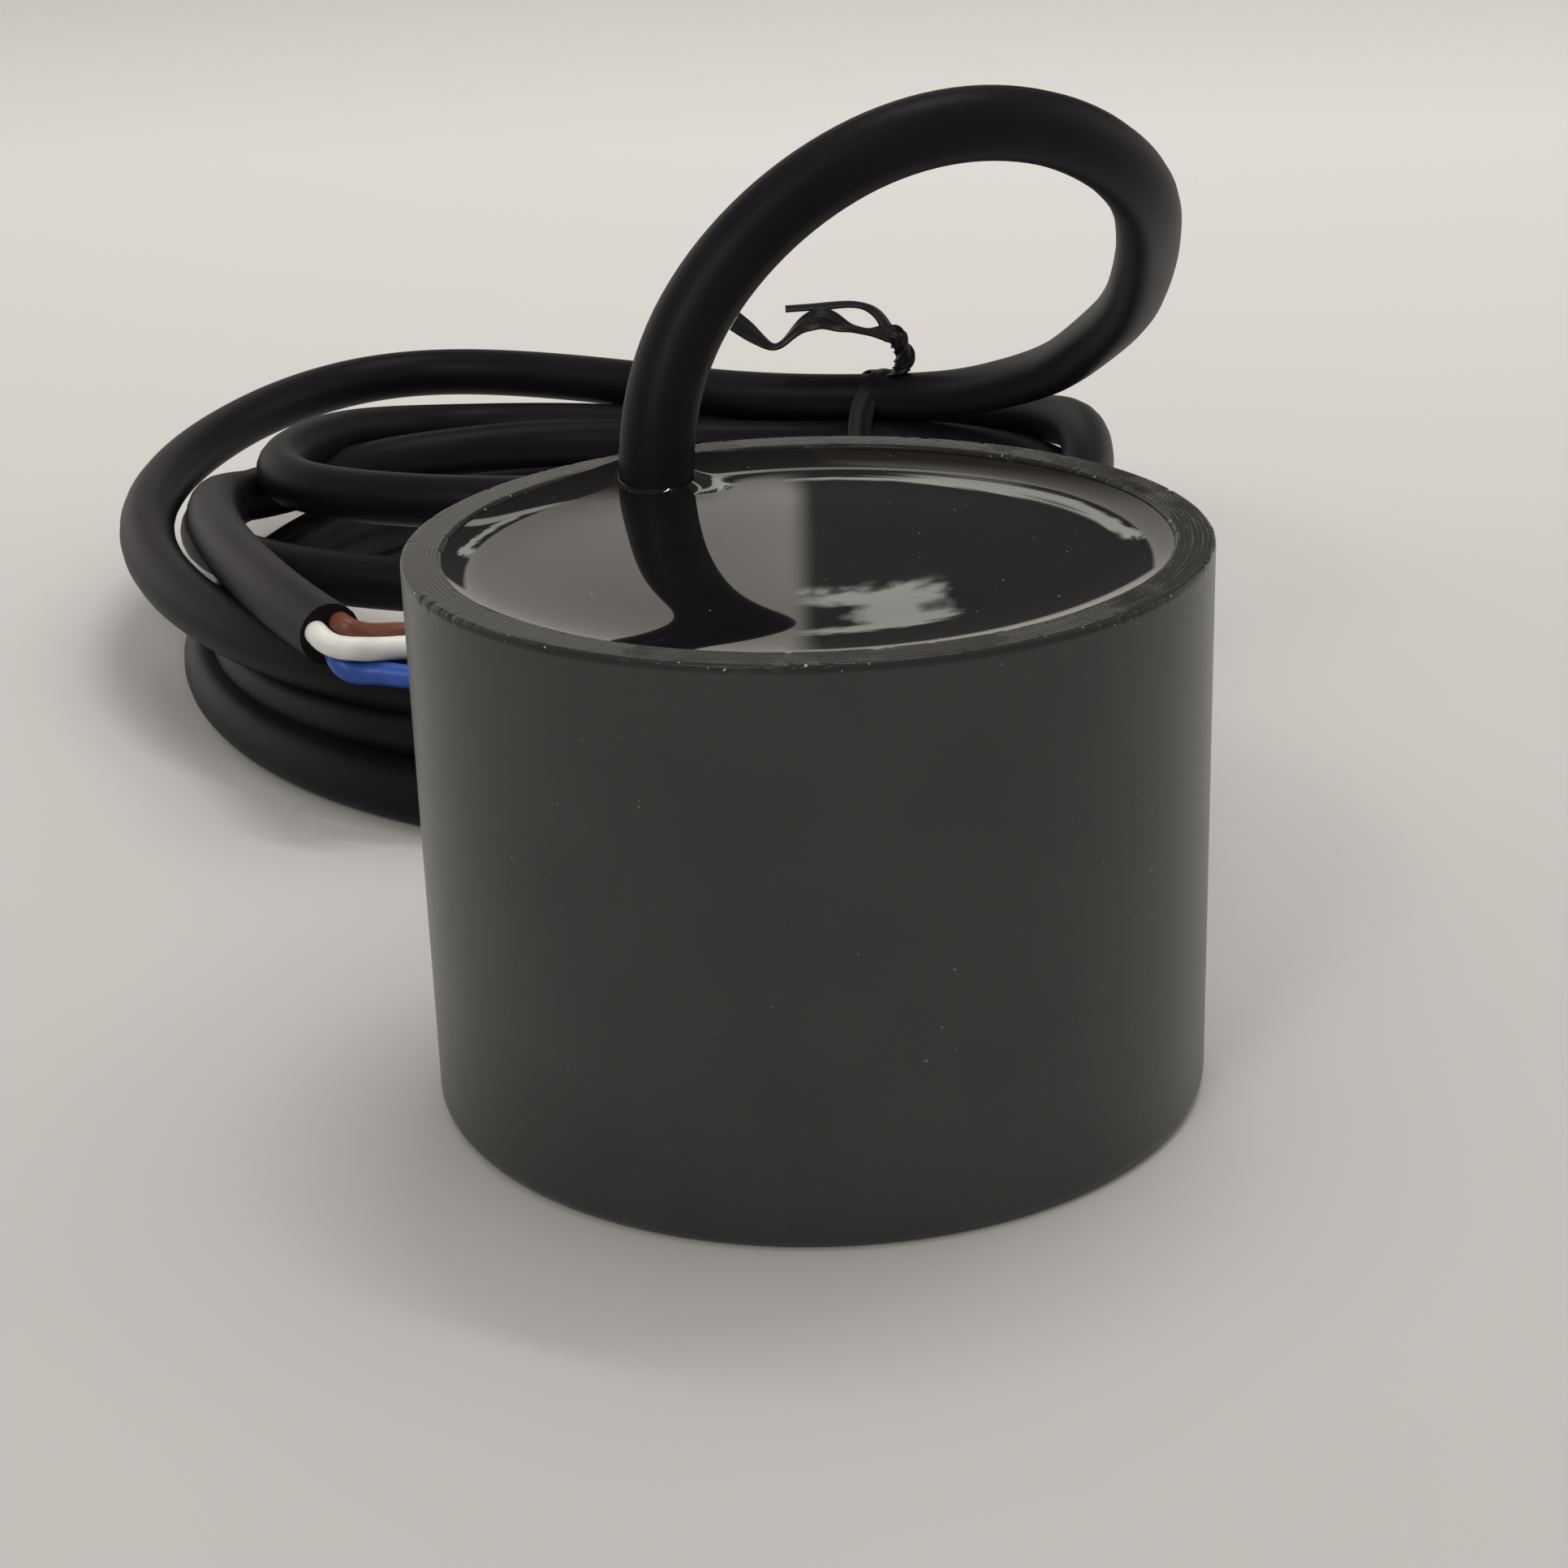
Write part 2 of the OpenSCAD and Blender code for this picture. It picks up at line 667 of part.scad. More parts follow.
module twist_tie() {
    color([0.08, 0.08, 0.08]) {
        difference() {
            slice(bundle(tie_t), tie_w);
            slice(bundle(0), 2 * tie_w);
        }
        swept(KNOT, tie_w, tie_w, 8);
        swept(TIE_END_A, tie_w, 2 * tie_t, 8);
        swept(TIE_END_B, tie_w, 2 * tie_t, 8);
    }
}

housing_cup();
window_bond();
piezo_disc();
isolation_ring();
backing_pad();
piezo_lead_red();
piezo_lead_black();
piezo_solder();
board_spacer();
circuit_board();
microcontroller();
transceiver_chip();
voltage_regulator();
driver_transistors();
transformer_core();
transformer_bobbin();
transformer_winding();
power_capacitor();
ceramic_capacitors();
resistors();
crystal();
power_inductor();
protection_diode();
inner_lead_brown();
inner_lead_white();
inner_lead_blue();
lead_solder();
cord_potted_end();
potting_resin();
cord_arch();
cord_coil();
cord_tail();
wire_brown();
wire_white();
wire_blue();
wire_strands();
twist_tie();
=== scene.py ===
"""Scene of a potted single beam echosounder: a round puck with a coiled, tied cord.

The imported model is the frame. The cup, the resin, the cord, its three wires and
the twist tie are surfaces worked out here, and the sealed pieces inside the
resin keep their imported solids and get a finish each. Lengths are in metres.
"""

import json
import logging
import math
from dataclasses import dataclass
from enum import Enum
from functools import cache

import bpy
import numpy as np
from mathutils import Matrix, Vector


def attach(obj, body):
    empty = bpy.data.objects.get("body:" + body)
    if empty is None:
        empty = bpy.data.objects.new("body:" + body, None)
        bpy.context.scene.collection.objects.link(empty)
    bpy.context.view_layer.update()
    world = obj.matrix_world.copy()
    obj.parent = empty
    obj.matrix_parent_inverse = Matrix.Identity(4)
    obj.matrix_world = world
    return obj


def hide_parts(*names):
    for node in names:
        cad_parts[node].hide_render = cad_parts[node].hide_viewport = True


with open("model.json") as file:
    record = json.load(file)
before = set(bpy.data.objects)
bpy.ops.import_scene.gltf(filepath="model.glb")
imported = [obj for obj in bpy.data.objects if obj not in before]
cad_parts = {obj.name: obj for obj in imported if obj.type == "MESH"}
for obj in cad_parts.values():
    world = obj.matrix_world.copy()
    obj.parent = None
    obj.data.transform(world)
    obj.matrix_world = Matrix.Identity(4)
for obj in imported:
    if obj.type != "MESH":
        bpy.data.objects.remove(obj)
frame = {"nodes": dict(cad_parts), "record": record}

log = logging.getLogger("echosounder")

MM = 0.001
ROOT = "root"
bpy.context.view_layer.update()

# Edges this sharp or sharper are shown as edges
CREASE = math.radians(40)

Pair = tuple[float, float]
Colour = tuple[float, float, float]
Point = tuple[float, float, float]
Shape = tuple[np.ndarray, list[np.ndarray]]
Piece = bpy.types.Object
Socket = bpy.types.NodeSocket


# Shapes as whole arrays


def unit(vectors: np.ndarray) -> np.ndarray:
    """Vectors along the last axis, each divided by its own length."""
    return vectors / np.linalg.norm(vectors, axis=-1, keepdims=True)


def distances(points: np.ndarray) -> np.ndarray:
    """How far along a line each of its points is."""
    return np.concatenate([[0.0], np.cumsum(np.linalg.norm(np.diff(points, axis=0), axis=1))])


def full_turn(count: int) -> np.ndarray:
    """Angles at even steps round a full turn, in radians."""
    return np.linspace(0, 2 * math.pi, count, endpoint=False)


def spline_through(points: np.ndarray, step: float) -> np.ndarray:
    """A smooth even line through points.

    Each span is a cubic of the distance so far. Its second derivative runs
    straight from one point's value to the next one's, and those values make
    the slope the same on both sides of every point.

    Args:
        points: The points that the line passes through, one a row.
        step: Distance from one point of the result to the next.

    Returns:
        The line's points, one a row.
    """
    gap = np.linalg.norm(np.diff(points, axis=0), axis=1)
    reached = distances(points)
    slope = np.diff(points, axis=0) / gap[:, None]
    last = len(points) - 1
    system = np.eye(last + 1)
    inner = np.arange(1, last)
    system[inner, inner - 1] = gap[:-1]
    system[inner, inner] = 2 * (gap[:-1] + gap[1:])
    system[inner, inner + 1] = gap[1:]
    pull = np.zeros_like(points)
    pull[1:-1] = 6 * np.diff(slope, axis=0)
    bend = np.linalg.solve(system, pull)
    distance = np.linspace(0, reached[-1], int(reached[-1] / step) + 2)
    span = np.clip(np.searchsorted(reached, distance, side="right") - 1, 0, last - 1)
    width = gap[span][:, None]
    ahead = (reached[span + 1] - distance)[:, None]
    behind = (distance - reached[span])[:, None]
    curve = (bend[span] * ahead**3 + bend[span + 1] * behind**3) / (6 * width)
    start = (points[span] / width - bend[span] * width / 6) * ahead
    end = (points[span + 1] / width - bend[span + 1] * width / 6) * behind
    return curve + start + end


def ring_faces(rows: int, around: int) -> np.ndarray:
    """Quads between rings of points that follow one another in the mesh.

    Args:
        rows: Number of rings.
        around: Points in each ring.

    Returns:
        Four indices a row, with the face outwards where the rings rise and
        their points run anticlockwise.
    """
    row, place = np.meshgrid(np.arange(rows - 1), np.arange(around), indexing="ij")
    following = (place + 1) % around
    corners = [(row, place), (row, following), (row + 1, following), (row + 1, place)]
    return np.stack([r * around + p for r, p in corners], -1).reshape(-1, 4)


def capped(rings: np.ndarray, poles: np.ndarray) -> Shape:
    """A closed shape of rings, with triangles to a pole at either end.

    Args:
        rings: Points by ring, by place in the ring and by coordinate.
        poles: The first end's centre point and the last one's.

    Returns:
        Points and faces.
    """
    rows, around = rings.shape[:2]
    count = rows * around
    place = np.arange(around)
    following = (place + 1) % around
    low = np.stack([following, place, np.full(around, count)], -1)
    high = count - around + np.stack([place, following, np.full(around, around + 1)], -1)
    return np.vstack([rings.reshape(-1, 3), poles]), [ring_faces(rows, around), low, high]


def merged(shapes: list[Shape]) -> Shape:
    """Several shapes as one, with the faces' indices moved on.

    Args:
        shapes: Points and faces of each shape.

    Returns:
        Points and faces of them all.
    """
    points, faces, count = [], [], 0
    for block, block_faces in shapes:
        points.append(block)
        faces += [count + face for face in block_faces]
        count += len(block)
    return np.vstack(points), faces


def shown(name: str, data: bpy.types.ID) -> Piece:
    """A new object that shows the data in the scene, at the origin."""
    made = bpy.data.objects.new(name, data)
    bpy.context.scene.collection.objects.link(made)
    return made


def surface(name: str, points: np.ndarray, faces: list[np.ndarray]) -> Piece:
    """A mesh object from whole arrays.

    Args:
        name: The piece's name.
        points: Its points in the row frame, one a row.
        faces: Arrays of faces, each with its own number of corners.

    Returns:
        The new object.
    """
    mesh = bpy.data.meshes.new(name)
    mesh.from_pydata(points.tolist(), [], [face for block in faces for face in block.tolist()])
    mesh.shade_smooth()
    mesh.set_sharp_from_angle(angle=CREASE)
    return shown(name, mesh)


def lathe(profile: np.ndarray, wear: np.ndarray) -> Shape:
    """A closed surface of revolution about Z.

    A point is (r cos a, r sin a, z), with (r, z) from the profile, which starts
    and ends on the axis and runs from the lower centre outwards and up.

    Args:
        profile: Radius and height, one point a row.
        wear: Change of radius and height, by point of the profile between its
            two ends and by place around.

    Returns:
        Points and faces.
    """
    angle = full_turn(wear.shape[1])
    radius, height = np.moveaxis(profile[1:-1, None, :] + wear, -1, 0)
    rings = np.stack([radius * np.cos(angle), radius * np.sin(angle), height], -1)
    return capped(rings, np.array([[0, 0, profile[0, 1]], [0, 0, profile[-1, 1]]]))


def arc(centre: Pair, radius: float, first: float, last: float, count: int) -> np.ndarray:
    """Points on a circular arc from one angle to another, in degrees."""
    angle = np.radians(np.linspace(first, last, count))
    return np.stack([centre[0] + radius * np.cos(angle), centre[1] + radius * np.sin(angle)], -1)


def evened(line: np.ndarray, reach: float) -> np.ndarray:
    """A line without its short bumps, and with its two ends held.

    Each point becomes the mean of its neighbours, with weights on a Gaussian
    curve. The same mean of what was lost is added back, so that long bends
    keep their size.

    Args:
        line: Points or directions at even distances, one a row.
        reach: The Gaussian curve's spread, as a number of points.

    Returns:
        As many points.
    """
    far = int(4 * reach)
    weight = np.exp(-0.5 * (np.arange(-far, far + 1) / reach) ** 2)
    weight /= weight.sum()

    def mean(values: np.ndarray) -> np.ndarray:
        """Each row's mean with its neighbours, the ends' ones mirrored through the end."""
        before = 2 * values[:1] - values[far:0:-1]
        after = 2 * values[-1:] - values[-2 : -far - 2 : -1]
        padded = np.vstack([before, values, after])
        return np.stack([np.convolve(column, weight, "valid") for column in padded.T], -1)

    soft = mean(line)
    return soft + mean(line - soft)


def carried(line: np.ndarray, wide: np.ndarray | Point) -> tuple[np.ndarray, np.ndarray, np.ndarray]:
    """Directions along a line and the two across it.

    The wide direction is the given one less its part along the line, and the
    tall one is the cross product of the line's direction with it.

    Args:
        line: Points of the line, one a row.
        wide: A direction that the line is never parallel to, or one for each
            point.

    Returns:
        The direction along, the wide one and the tall one, one a row each.
    """
    along = unit(np.gradient(line, axis=0))
    wide = np.broadcast_to(np.asarray(wide, float), line.shape)
    wide = unit(wide - (wide * along).sum(-1, keepdims=True) * along)
    return along, wide, np.cross(along, wide)


def swept(
    line: np.ndarray, section: np.ndarray, wide: np.ndarray | Point, closed: bool = False
) -> Shape:
    """A section carried along a line.

    A point is the line's point, plus the section's first number in the wide
    direction, plus its second one in the tall direction.

    Args:
        line: Points of the line, one a row.
        section: Closed outline of the section, anticlockwise, one point a row.
        wide: The wide direction, one for all points or one for each.
        closed: True where the line's end meets its start.

    Returns:
        Points and faces.
    """
    if closed:
        padded = np.vstack([line[-1:], line, line[:1]])
        wide, tall = (part[1:-1] for part in carried(padded, wide)[1:])
    else:
        wide, tall = carried(line, wide)[1:]
    rings = line[:, None] + section[:, :1] * wide[:, None] + section[:, 1:] * tall[:, None]
    if not closed:
        return capped(rings, line[[0, -1]])
    rows, around = rings.shape[:2]
    return rings.reshape(-1, 3), [ring_faces(rows + 1, around) % (rows * around)]


def round_section(diameter: float, count: int) -> np.ndarray:
    """A circle's points, anticlockwise from its side."""
    return arc((0, 0), diameter / 2, 0, 360 * (1 - 1 / count), count)


def smooth_random(count: int, seed: int, passes: int) -> np.ndarray:
    """Random values round a ring, evened out and then scaled to a spread of 1.

    Args:
        count: Number of places round the ring.
        seed: Seed of the random draw.
        passes: How often each value is mixed with the two beside it.

    Returns:
        One value a place.
    """
    values = np.random.default_rng(seed).standard_normal(count)
    for _ in range(passes):
        values = (np.roll(values, 1) + 2 * values + np.roll(values, -1)) / 4
    return values / values.std()


# Finishes

# Ranges of a cloud's values: its middle, most of it, and its few highest points
MIDDLE, MOST, PEAKS = (0.35, 0.65), (0.3, 0.7), (0.885, 0.9)


def toned(colour: Colour, by: float) -> Colour:
    """A colour times a number."""
    return tuple(by * part for part in colour)


class Sheet:
    """The node tree of a material or a world, with short calls for the nodes that it uses."""

    def __init__(self, owner: bpy.types.Material | bpy.types.World, places: str = "Object") -> None:
        """Start on the owner's node tree, with places in the coordinates of that name."""
        owner.use_nodes = True
        self.tree = owner.node_tree
        self.place = self.node("ShaderNodeTexCoord").outputs[places]

    @property
    def shader(self) -> bpy.types.bpy_prop_collection:
        """The inputs of a material's main shader."""
        return self.tree.nodes["Principled BSDF"].inputs

    def node(self, kind: str, **settings: object) -> bpy.types.Node:
        """Add a node of a kind and set its properties."""
        made = self.tree.nodes.new(kind)
        for key, value in settings.items():
            setattr(made, key, value)
        return made

    def feed(self, socket: Socket, value: object) -> None:
        """Join another node's socket to this one, or set a plain value on it."""
        if isinstance(value, Socket):
            self.tree.links.new(value, socket)
        else:
            socket.default_value = value

    def xyz(self) -> bpy.types.bpy_prop_collection:
        """X, Y and Z of the place."""
        split = self.node("ShaderNodeSeparateXYZ")
        self.feed(split.inputs[0], self.place)
        return split.outputs

    def noise(self, size: float, detail: float, place: Socket | None = None) -> Socket:
        """Cloudy values from 0 to 1 with spots of about that size."""
        made = self.node("ShaderNodeTexNoise")
        self.feed(made.inputs["Vector"], place or self.place)
        made.inputs["Scale"].default_value = 1 / size
        made.inputs["Detail"].default_value = detail
        return made.outputs["Fac"]

    def remap(self, source: Socket, old: Pair, new: Pair = (0, 1), smooth: bool = False) -> Socket:
        """One range of values mapped to another and held at its ends."""
        kind = "SMOOTHSTEP" if smooth else "LINEAR"
        made = self.node("ShaderNodeMapRange", interpolation_type=kind)
        self.feed(made.inputs["Value"], source)
        for key, value in zip(("From Min", "From Max", "To Min", "To Max"), (*old, *new)):
            made.inputs[key].default_value = value
        return made.outputs["Result"]

    def band(self, value: Socket, low: float, high: float, soft: float) -> Socket:
        """1 between two values and 0 outside them, with soft ends."""
        rise = self.remap(value, (low - soft, low + soft), smooth=True)
        fall = self.remap(value, (high - soft, high + soft), (1, 0), smooth=True)
        return self.product(rise, fall)

    def calc(self, operation: str, first: object, second: object = 0.0) -> Socket:
        """The result of a Math node on two values or sockets."""
        made = self.node("ShaderNodeMath", operation=operation)
        self.feed(made.inputs[0], first)
        self.feed(made.inputs[1], second)
        return made.outputs[0]

    def product(self, first: Socket, *others: object) -> Socket:
        """A socket times each of the other values or sockets."""
        for other in others:
            first = self.calc("MULTIPLY", first, other)
        return first

    def blend(self, share: Socket, first: object, second: object) -> Socket:
        """A colour between two, by a share from 0 to 1."""
        made = self.node("ShaderNodeMix", data_type="RGBA")
        self.feed(made.inputs[0], share)
        for socket, value in zip(made.inputs[6:8], (first, second)):
            self.feed(socket, (*value, 1) if isinstance(value, tuple) else value)
        return made.outputs[2]

    def relief(self, height: Socket, depth: float, under: Socket | None = None) -> Socket:
        """A normal from a height of that depth in metres."""
        made = self.node("ShaderNodeBump")
        made.inputs["Distance"].default_value = depth
        self.feed(made.inputs["Height"], height)
        if under is not None:
            self.feed(made.inputs["Normal"], under)
        return made.outputs["Normal"]


@dataclass(frozen=True)
class Finish:
    """A finish with a cloudy colour, a varied gloss and a fine relief.

    Attributes:
        slot: The record's material slot, which also names the material.
        dark: Colour in the clouds' low parts.
        light: Colour in their high parts.
        gloss: Lowest and highest roughness.
        cloud: Size of the clouds of colour, in millimetres.
        grain: Size of the relief's grains, in millimetres.
        depth: Depth of the relief, in millimetres.
        metal: 1 for bare metal.
        mirror: Strength of the gloss, where 0.5 is plain plastic.
    """

    slot: str
    dark: Colour
    light: Colour
    gloss: Pair
    cloud: float = 4
    grain: float = 0.3
    depth: float = 0.01
    metal: float = 0.0
    mirror: float = 0.5

    @cache
    def material(self) -> bpy.types.Material:
        """The finish's material, made once."""
        made = bpy.data.materials.new(self.slot)
        self.paint(Sheet(made))
        return made

    def body(self, sheet: Sheet) -> Socket:
        """The cloudy colour."""
        clouds = sheet.noise(self.cloud * MM, 4)
        return sheet.blend(sheet.remap(clouds, MIDDLE), self.dark, self.light)

    def paint(self, sheet: Sheet) -> None:
        """Add the colour, gloss and relief to a sheet."""
        grains = sheet.noise(self.grain * MM, 3)
        shader = sheet.shader
        sheet.feed(shader["Base Color"], self.body(sheet))
        sheet.feed(shader["Roughness"], sheet.remap(grains, MOST, self.gloss))
        sheet.feed(shader["Normal"], sheet.relief(grains, self.depth * MM))
        shader["Metallic"].default_value = self.metal
        shader["Specular IOR Level"].default_value = self.mirror


@dataclass(frozen=True)
class TurnedPlastic(Finish):
    """The cup's plastic: satin, with a turned and scuffed rim and a little dust.

    Attributes, with sizes in millimetres:
        rim_z: Height from which the rim's turning marks show.
        rim_mid: Radius of the rim's middle.
        pitch: Distance from one turning mark to the next.
        patch: Size of the cloud that breaks the marks up.
        scratch: Width of a scratch.
        chip: Size of a chip.
        speck: Size of a speck of dust.
        turned: Depth of the marks.
        rim_mirror: Strength of the rim's gloss.
    """

    rim_z: float = 35.6
    rim_mid: float = 23.75
    pitch: float = 0.28
    patch: float = 3.5
    scratch: float = 0.16
    chip: float = 0.5
    speck: float = 0.26
    turned: float = 0.012
    rim_mirror: float = 0.14

    def paint(self, sheet: Sheet) -> None:
        """Add the satin side, the turned rim with its scratches and chips, and the dust."""
        x, y, z = sheet.xyz()
        radius = sheet.calc("SQRT", sheet.calc("ADD", sheet.product(x, x), sheet.product(y, y)))
        angle = sheet.calc("ARCTAN2", x, sheet.product(y, -1.0))
        on_rim = sheet.remap(z, ((self.rim_z - 0.2) * MM, self.rim_z * MM))
        # Turning marks: waves of the radius, broken up by a cloud
        waves = sheet.calc("SINE", sheet.product(radius, 2 * math.pi / (self.pitch * MM)))
        broken = sheet.remap(sheet.noise(self.patch * MM, 3), (0.42, 0.62))
        marks = sheet.product(waves, broken, on_rim)
        # Scratches: long arcs where a cloud over radius and angle is high
        unrolled = sheet.node("ShaderNodeCombineXYZ")
        sheet.feed(unrolled.inputs[0], sheet.calc("DIVIDE", radius, self.scratch * MM))
        sheet.feed(unrolled.inputs[1], sheet.product(angle, 4.0))
        arcs = sheet.noise(1.0, 2, unrolled.outputs[0])
        scratches = sheet.product(sheet.remap(arcs, (0.6, 0.68)), on_rim)
        # Chips: the highest points of a fine cloud beside the rim's two edges
        off_mid = sheet.calc("ABSOLUTE", sheet.calc("SUBTRACT", radius, self.rim_mid * MM))
        beside = sheet.remap(off_mid, (0.95 * MM, 1.2 * MM))
        high = sheet.remap(sheet.noise(self.chip * MM, 1), (0.73, 0.76))
        chips = sheet.product(beside, on_rim, high)
        dust = sheet.remap(sheet.noise(self.speck * MM, 0), PEAKS)
        body = self.body(sheet)
        for spots, share, colour in (
            (scratches, 0.1, (0.32, 0.31, 0.3)),
            (chips, 0.7, (0.6, 0.59, 0.56)),
            (dust, 0.45, (0.35, 0.34, 0.32)),
        ):
            body = sheet.blend(sheet.product(spots, share), body, colour)
        shader = sheet.shader
        sheet.feed(shader["Base Color"], body)
        grains = sheet.noise(self.grain * MM, 3)
        rough = sheet.remap(grains, MOST, self.gloss)
        rough = sheet.calc("SUBTRACT", rough, sheet.product(on_rim, 0.08))
        sheet.feed(shader["Roughness"], sheet.calc("ADD", rough, sheet.product(scratches, 0.15)))
        mirror = sheet.remap(on_rim, (0, 1), (self.mirror, self.rim_mirror))
        sheet.feed(shader["Specular IOR Level"], mirror)
        cut = sheet.calc("ADD", marks, sheet.product(scratches, 1.5))
        fine = sheet.relief(grains, self.depth * MM)
        sheet.feed(shader["Normal"], sheet.relief(cut, self.turned * MM, fine))


@dataclass(frozen=True)
class MirrorResin(Finish):
    """Potting resin that levelled itself: a mirror with a trace of waves and dust."""

    def paint(self, sheet: Sheet) -> None:
        """Add the deep colour, the slow waves and the specks of dust."""
        shader = sheet.shader
        waves = sheet.noise(self.cloud * MM, 1)
        dust = sheet.remap(sheet.noise(self.grain * MM, 0), PEAKS)
        body = sheet.blend(waves, self.dark, self.light)
        sheet.feed(shader["Base Color"], sheet.blend(dust, body, (0.42, 0.41, 0.38)))
        rough = sheet.remap(waves, MOST, self.gloss)
        sheet.feed(shader["Roughness"], sheet.calc("ADD", rough, sheet.product(dust, 0.5)))
        shader["IOR"].default_value = 1.53
        slow = sheet.relief(waves, self.depth * MM)
        sheet.feed(shader["Normal"], sheet.relief(dust, 0.02 * MM, slow))


# Slot, the clouds' two colours, roughness, and the sizes of clouds, grains and relief
FINISHES: dict[str, Finish] = {
    finish.slot: finish
    for finish in (
        TurnedPlastic(
            "housing", (0.021, 0.021, 0.0196), (0.0265, 0.0265, 0.0247), (0.27, 0.36),
            9, 0.12, 0.003,
        ),
        Finish("bond_epoxy", (0.5, 0.38, 0.15), (0.6, 0.48, 0.2), (0.1, 0.2)),
        Finish("piezo_ceramic", (0.55, 0.54, 0.5), (0.66, 0.65, 0.61), (0.3, 0.45), 3, 0.2),
        Finish("cork", (0.28, 0.15, 0.07), (0.52, 0.32, 0.17), (0.8, 0.95), 1.2, 0.6, 0.15),
        Finish("wire_red", (0.4, 0.008, 0.006), (0.46, 0.012, 0.008), (0.35, 0.45)),
        Finish("wire_black", (0.006, 0.006, 0.006), (0.01, 0.01, 0.01), (0.35, 0.45)),
        Finish("solder", (0.5, 0.5, 0.51), (0.62, 0.62, 0.63), (0.15, 0.3), 1, metal=1),
        Finish("spacer_plastic", (0.55, 0.52, 0.44), (0.66, 0.63, 0.55), (0.45, 0.55)),
        Finish("board_laminate", (0.004, 0.05, 0.014), (0.008, 0.075, 0.024), (0.25, 0.35), 2, 0.4),
        Finish("chip_epoxy", (0.008, 0.008, 0.009), (0.014, 0.014, 0.015), (0.5, 0.65), 1, 0.1),
        Finish("ferrite", (0.02, 0.02, 0.022), (0.034, 0.034, 0.037), (0.5, 0.7), 1, 0.15, 0.02),
        Finish("enamelled_copper", (0.4, 0.11, 0.03), (0.5, 0.16, 0.045), (0.2, 0.3), 1, 0.3, 0.02, 1),
        Finish("capacitor_can", (0.5, 0.51, 0.53), (0.6, 0.61, 0.63), (0.25, 0.35), 2, 0.2, 0.005, 1),
        Finish("capacitor_ceramic", (0.3, 0.19, 0.09), (0.42, 0.28, 0.14), (0.5, 0.6), 1, 0.1),
        Finish("resistor_ceramic", (0.006, 0.006, 0.007), (0.012, 0.012, 0.013), (0.3, 0.4), 1, 0.1),
        Finish("crystal_can", (0.45, 0.45, 0.45), (0.56, 0.56, 0.56), (0.2, 0.35), 1, 0.1, 0.005, 1),
        Finish("wire_brown", (0.125, 0.034, 0.013), (0.16, 0.044, 0.018), (0.35, 0.5), 1.5, 0.1, 0.004),
        Finish("wire_white", (0.62, 0.61, 0.56), (0.7, 0.69, 0.64), (0.35, 0.5), 1.5, 0.1, 0.004),
        Finish("wire_blue", (0.01, 0.055, 0.28), (0.014, 0.075, 0.36), (0.35, 0.5), 1.5, 0.1, 0.004),
        Finish(
            "cord_jacket", (0.0055, 0.0062, 0.0066), (0.0095, 0.0076, 0.0092), (0.4, 0.5),
            14, 0.09, 0.003, mirror=0.1,
        ),
        MirrorResin(
            "potting_resin", (0.0045, 0.0045, 0.0045), (0.0065, 0.0062, 0.006), (0.012, 0.03),
            6, 0.24, 0.002,
        ),
        Finish("tinned_copper", (0.52, 0.5, 0.47), (0.62, 0.6, 0.57), (0.2, 0.35), 1, 0.1, 0.005, 1),
        Finish(
            "tie_plastic", (0.005, 0.0055, 0.0055), (0.0085, 0.008, 0.008), (0.38, 0.48),
            2, 0.15, 0.004, mirror=0.2,
        ),
    )
}


def dress(piece: Piece, slot: str, *nodes: str) -> Piece:
    """Give a new piece its finish, its body and the nodes that it stands for.

    Args:
        piece: The new piece, in its place.
        slot: The material slot that it takes its finish from.
        nodes: Names of the nodes that it replaces.

    Returns:
        The same piece.
    """
    piece.data.materials.append(FINISHES[slot].material())
    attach(piece, ROOT)
    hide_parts(*nodes)
    log.info("%s stands for %s", piece.name, ", ".join(nodes))
    return piece


# The puck


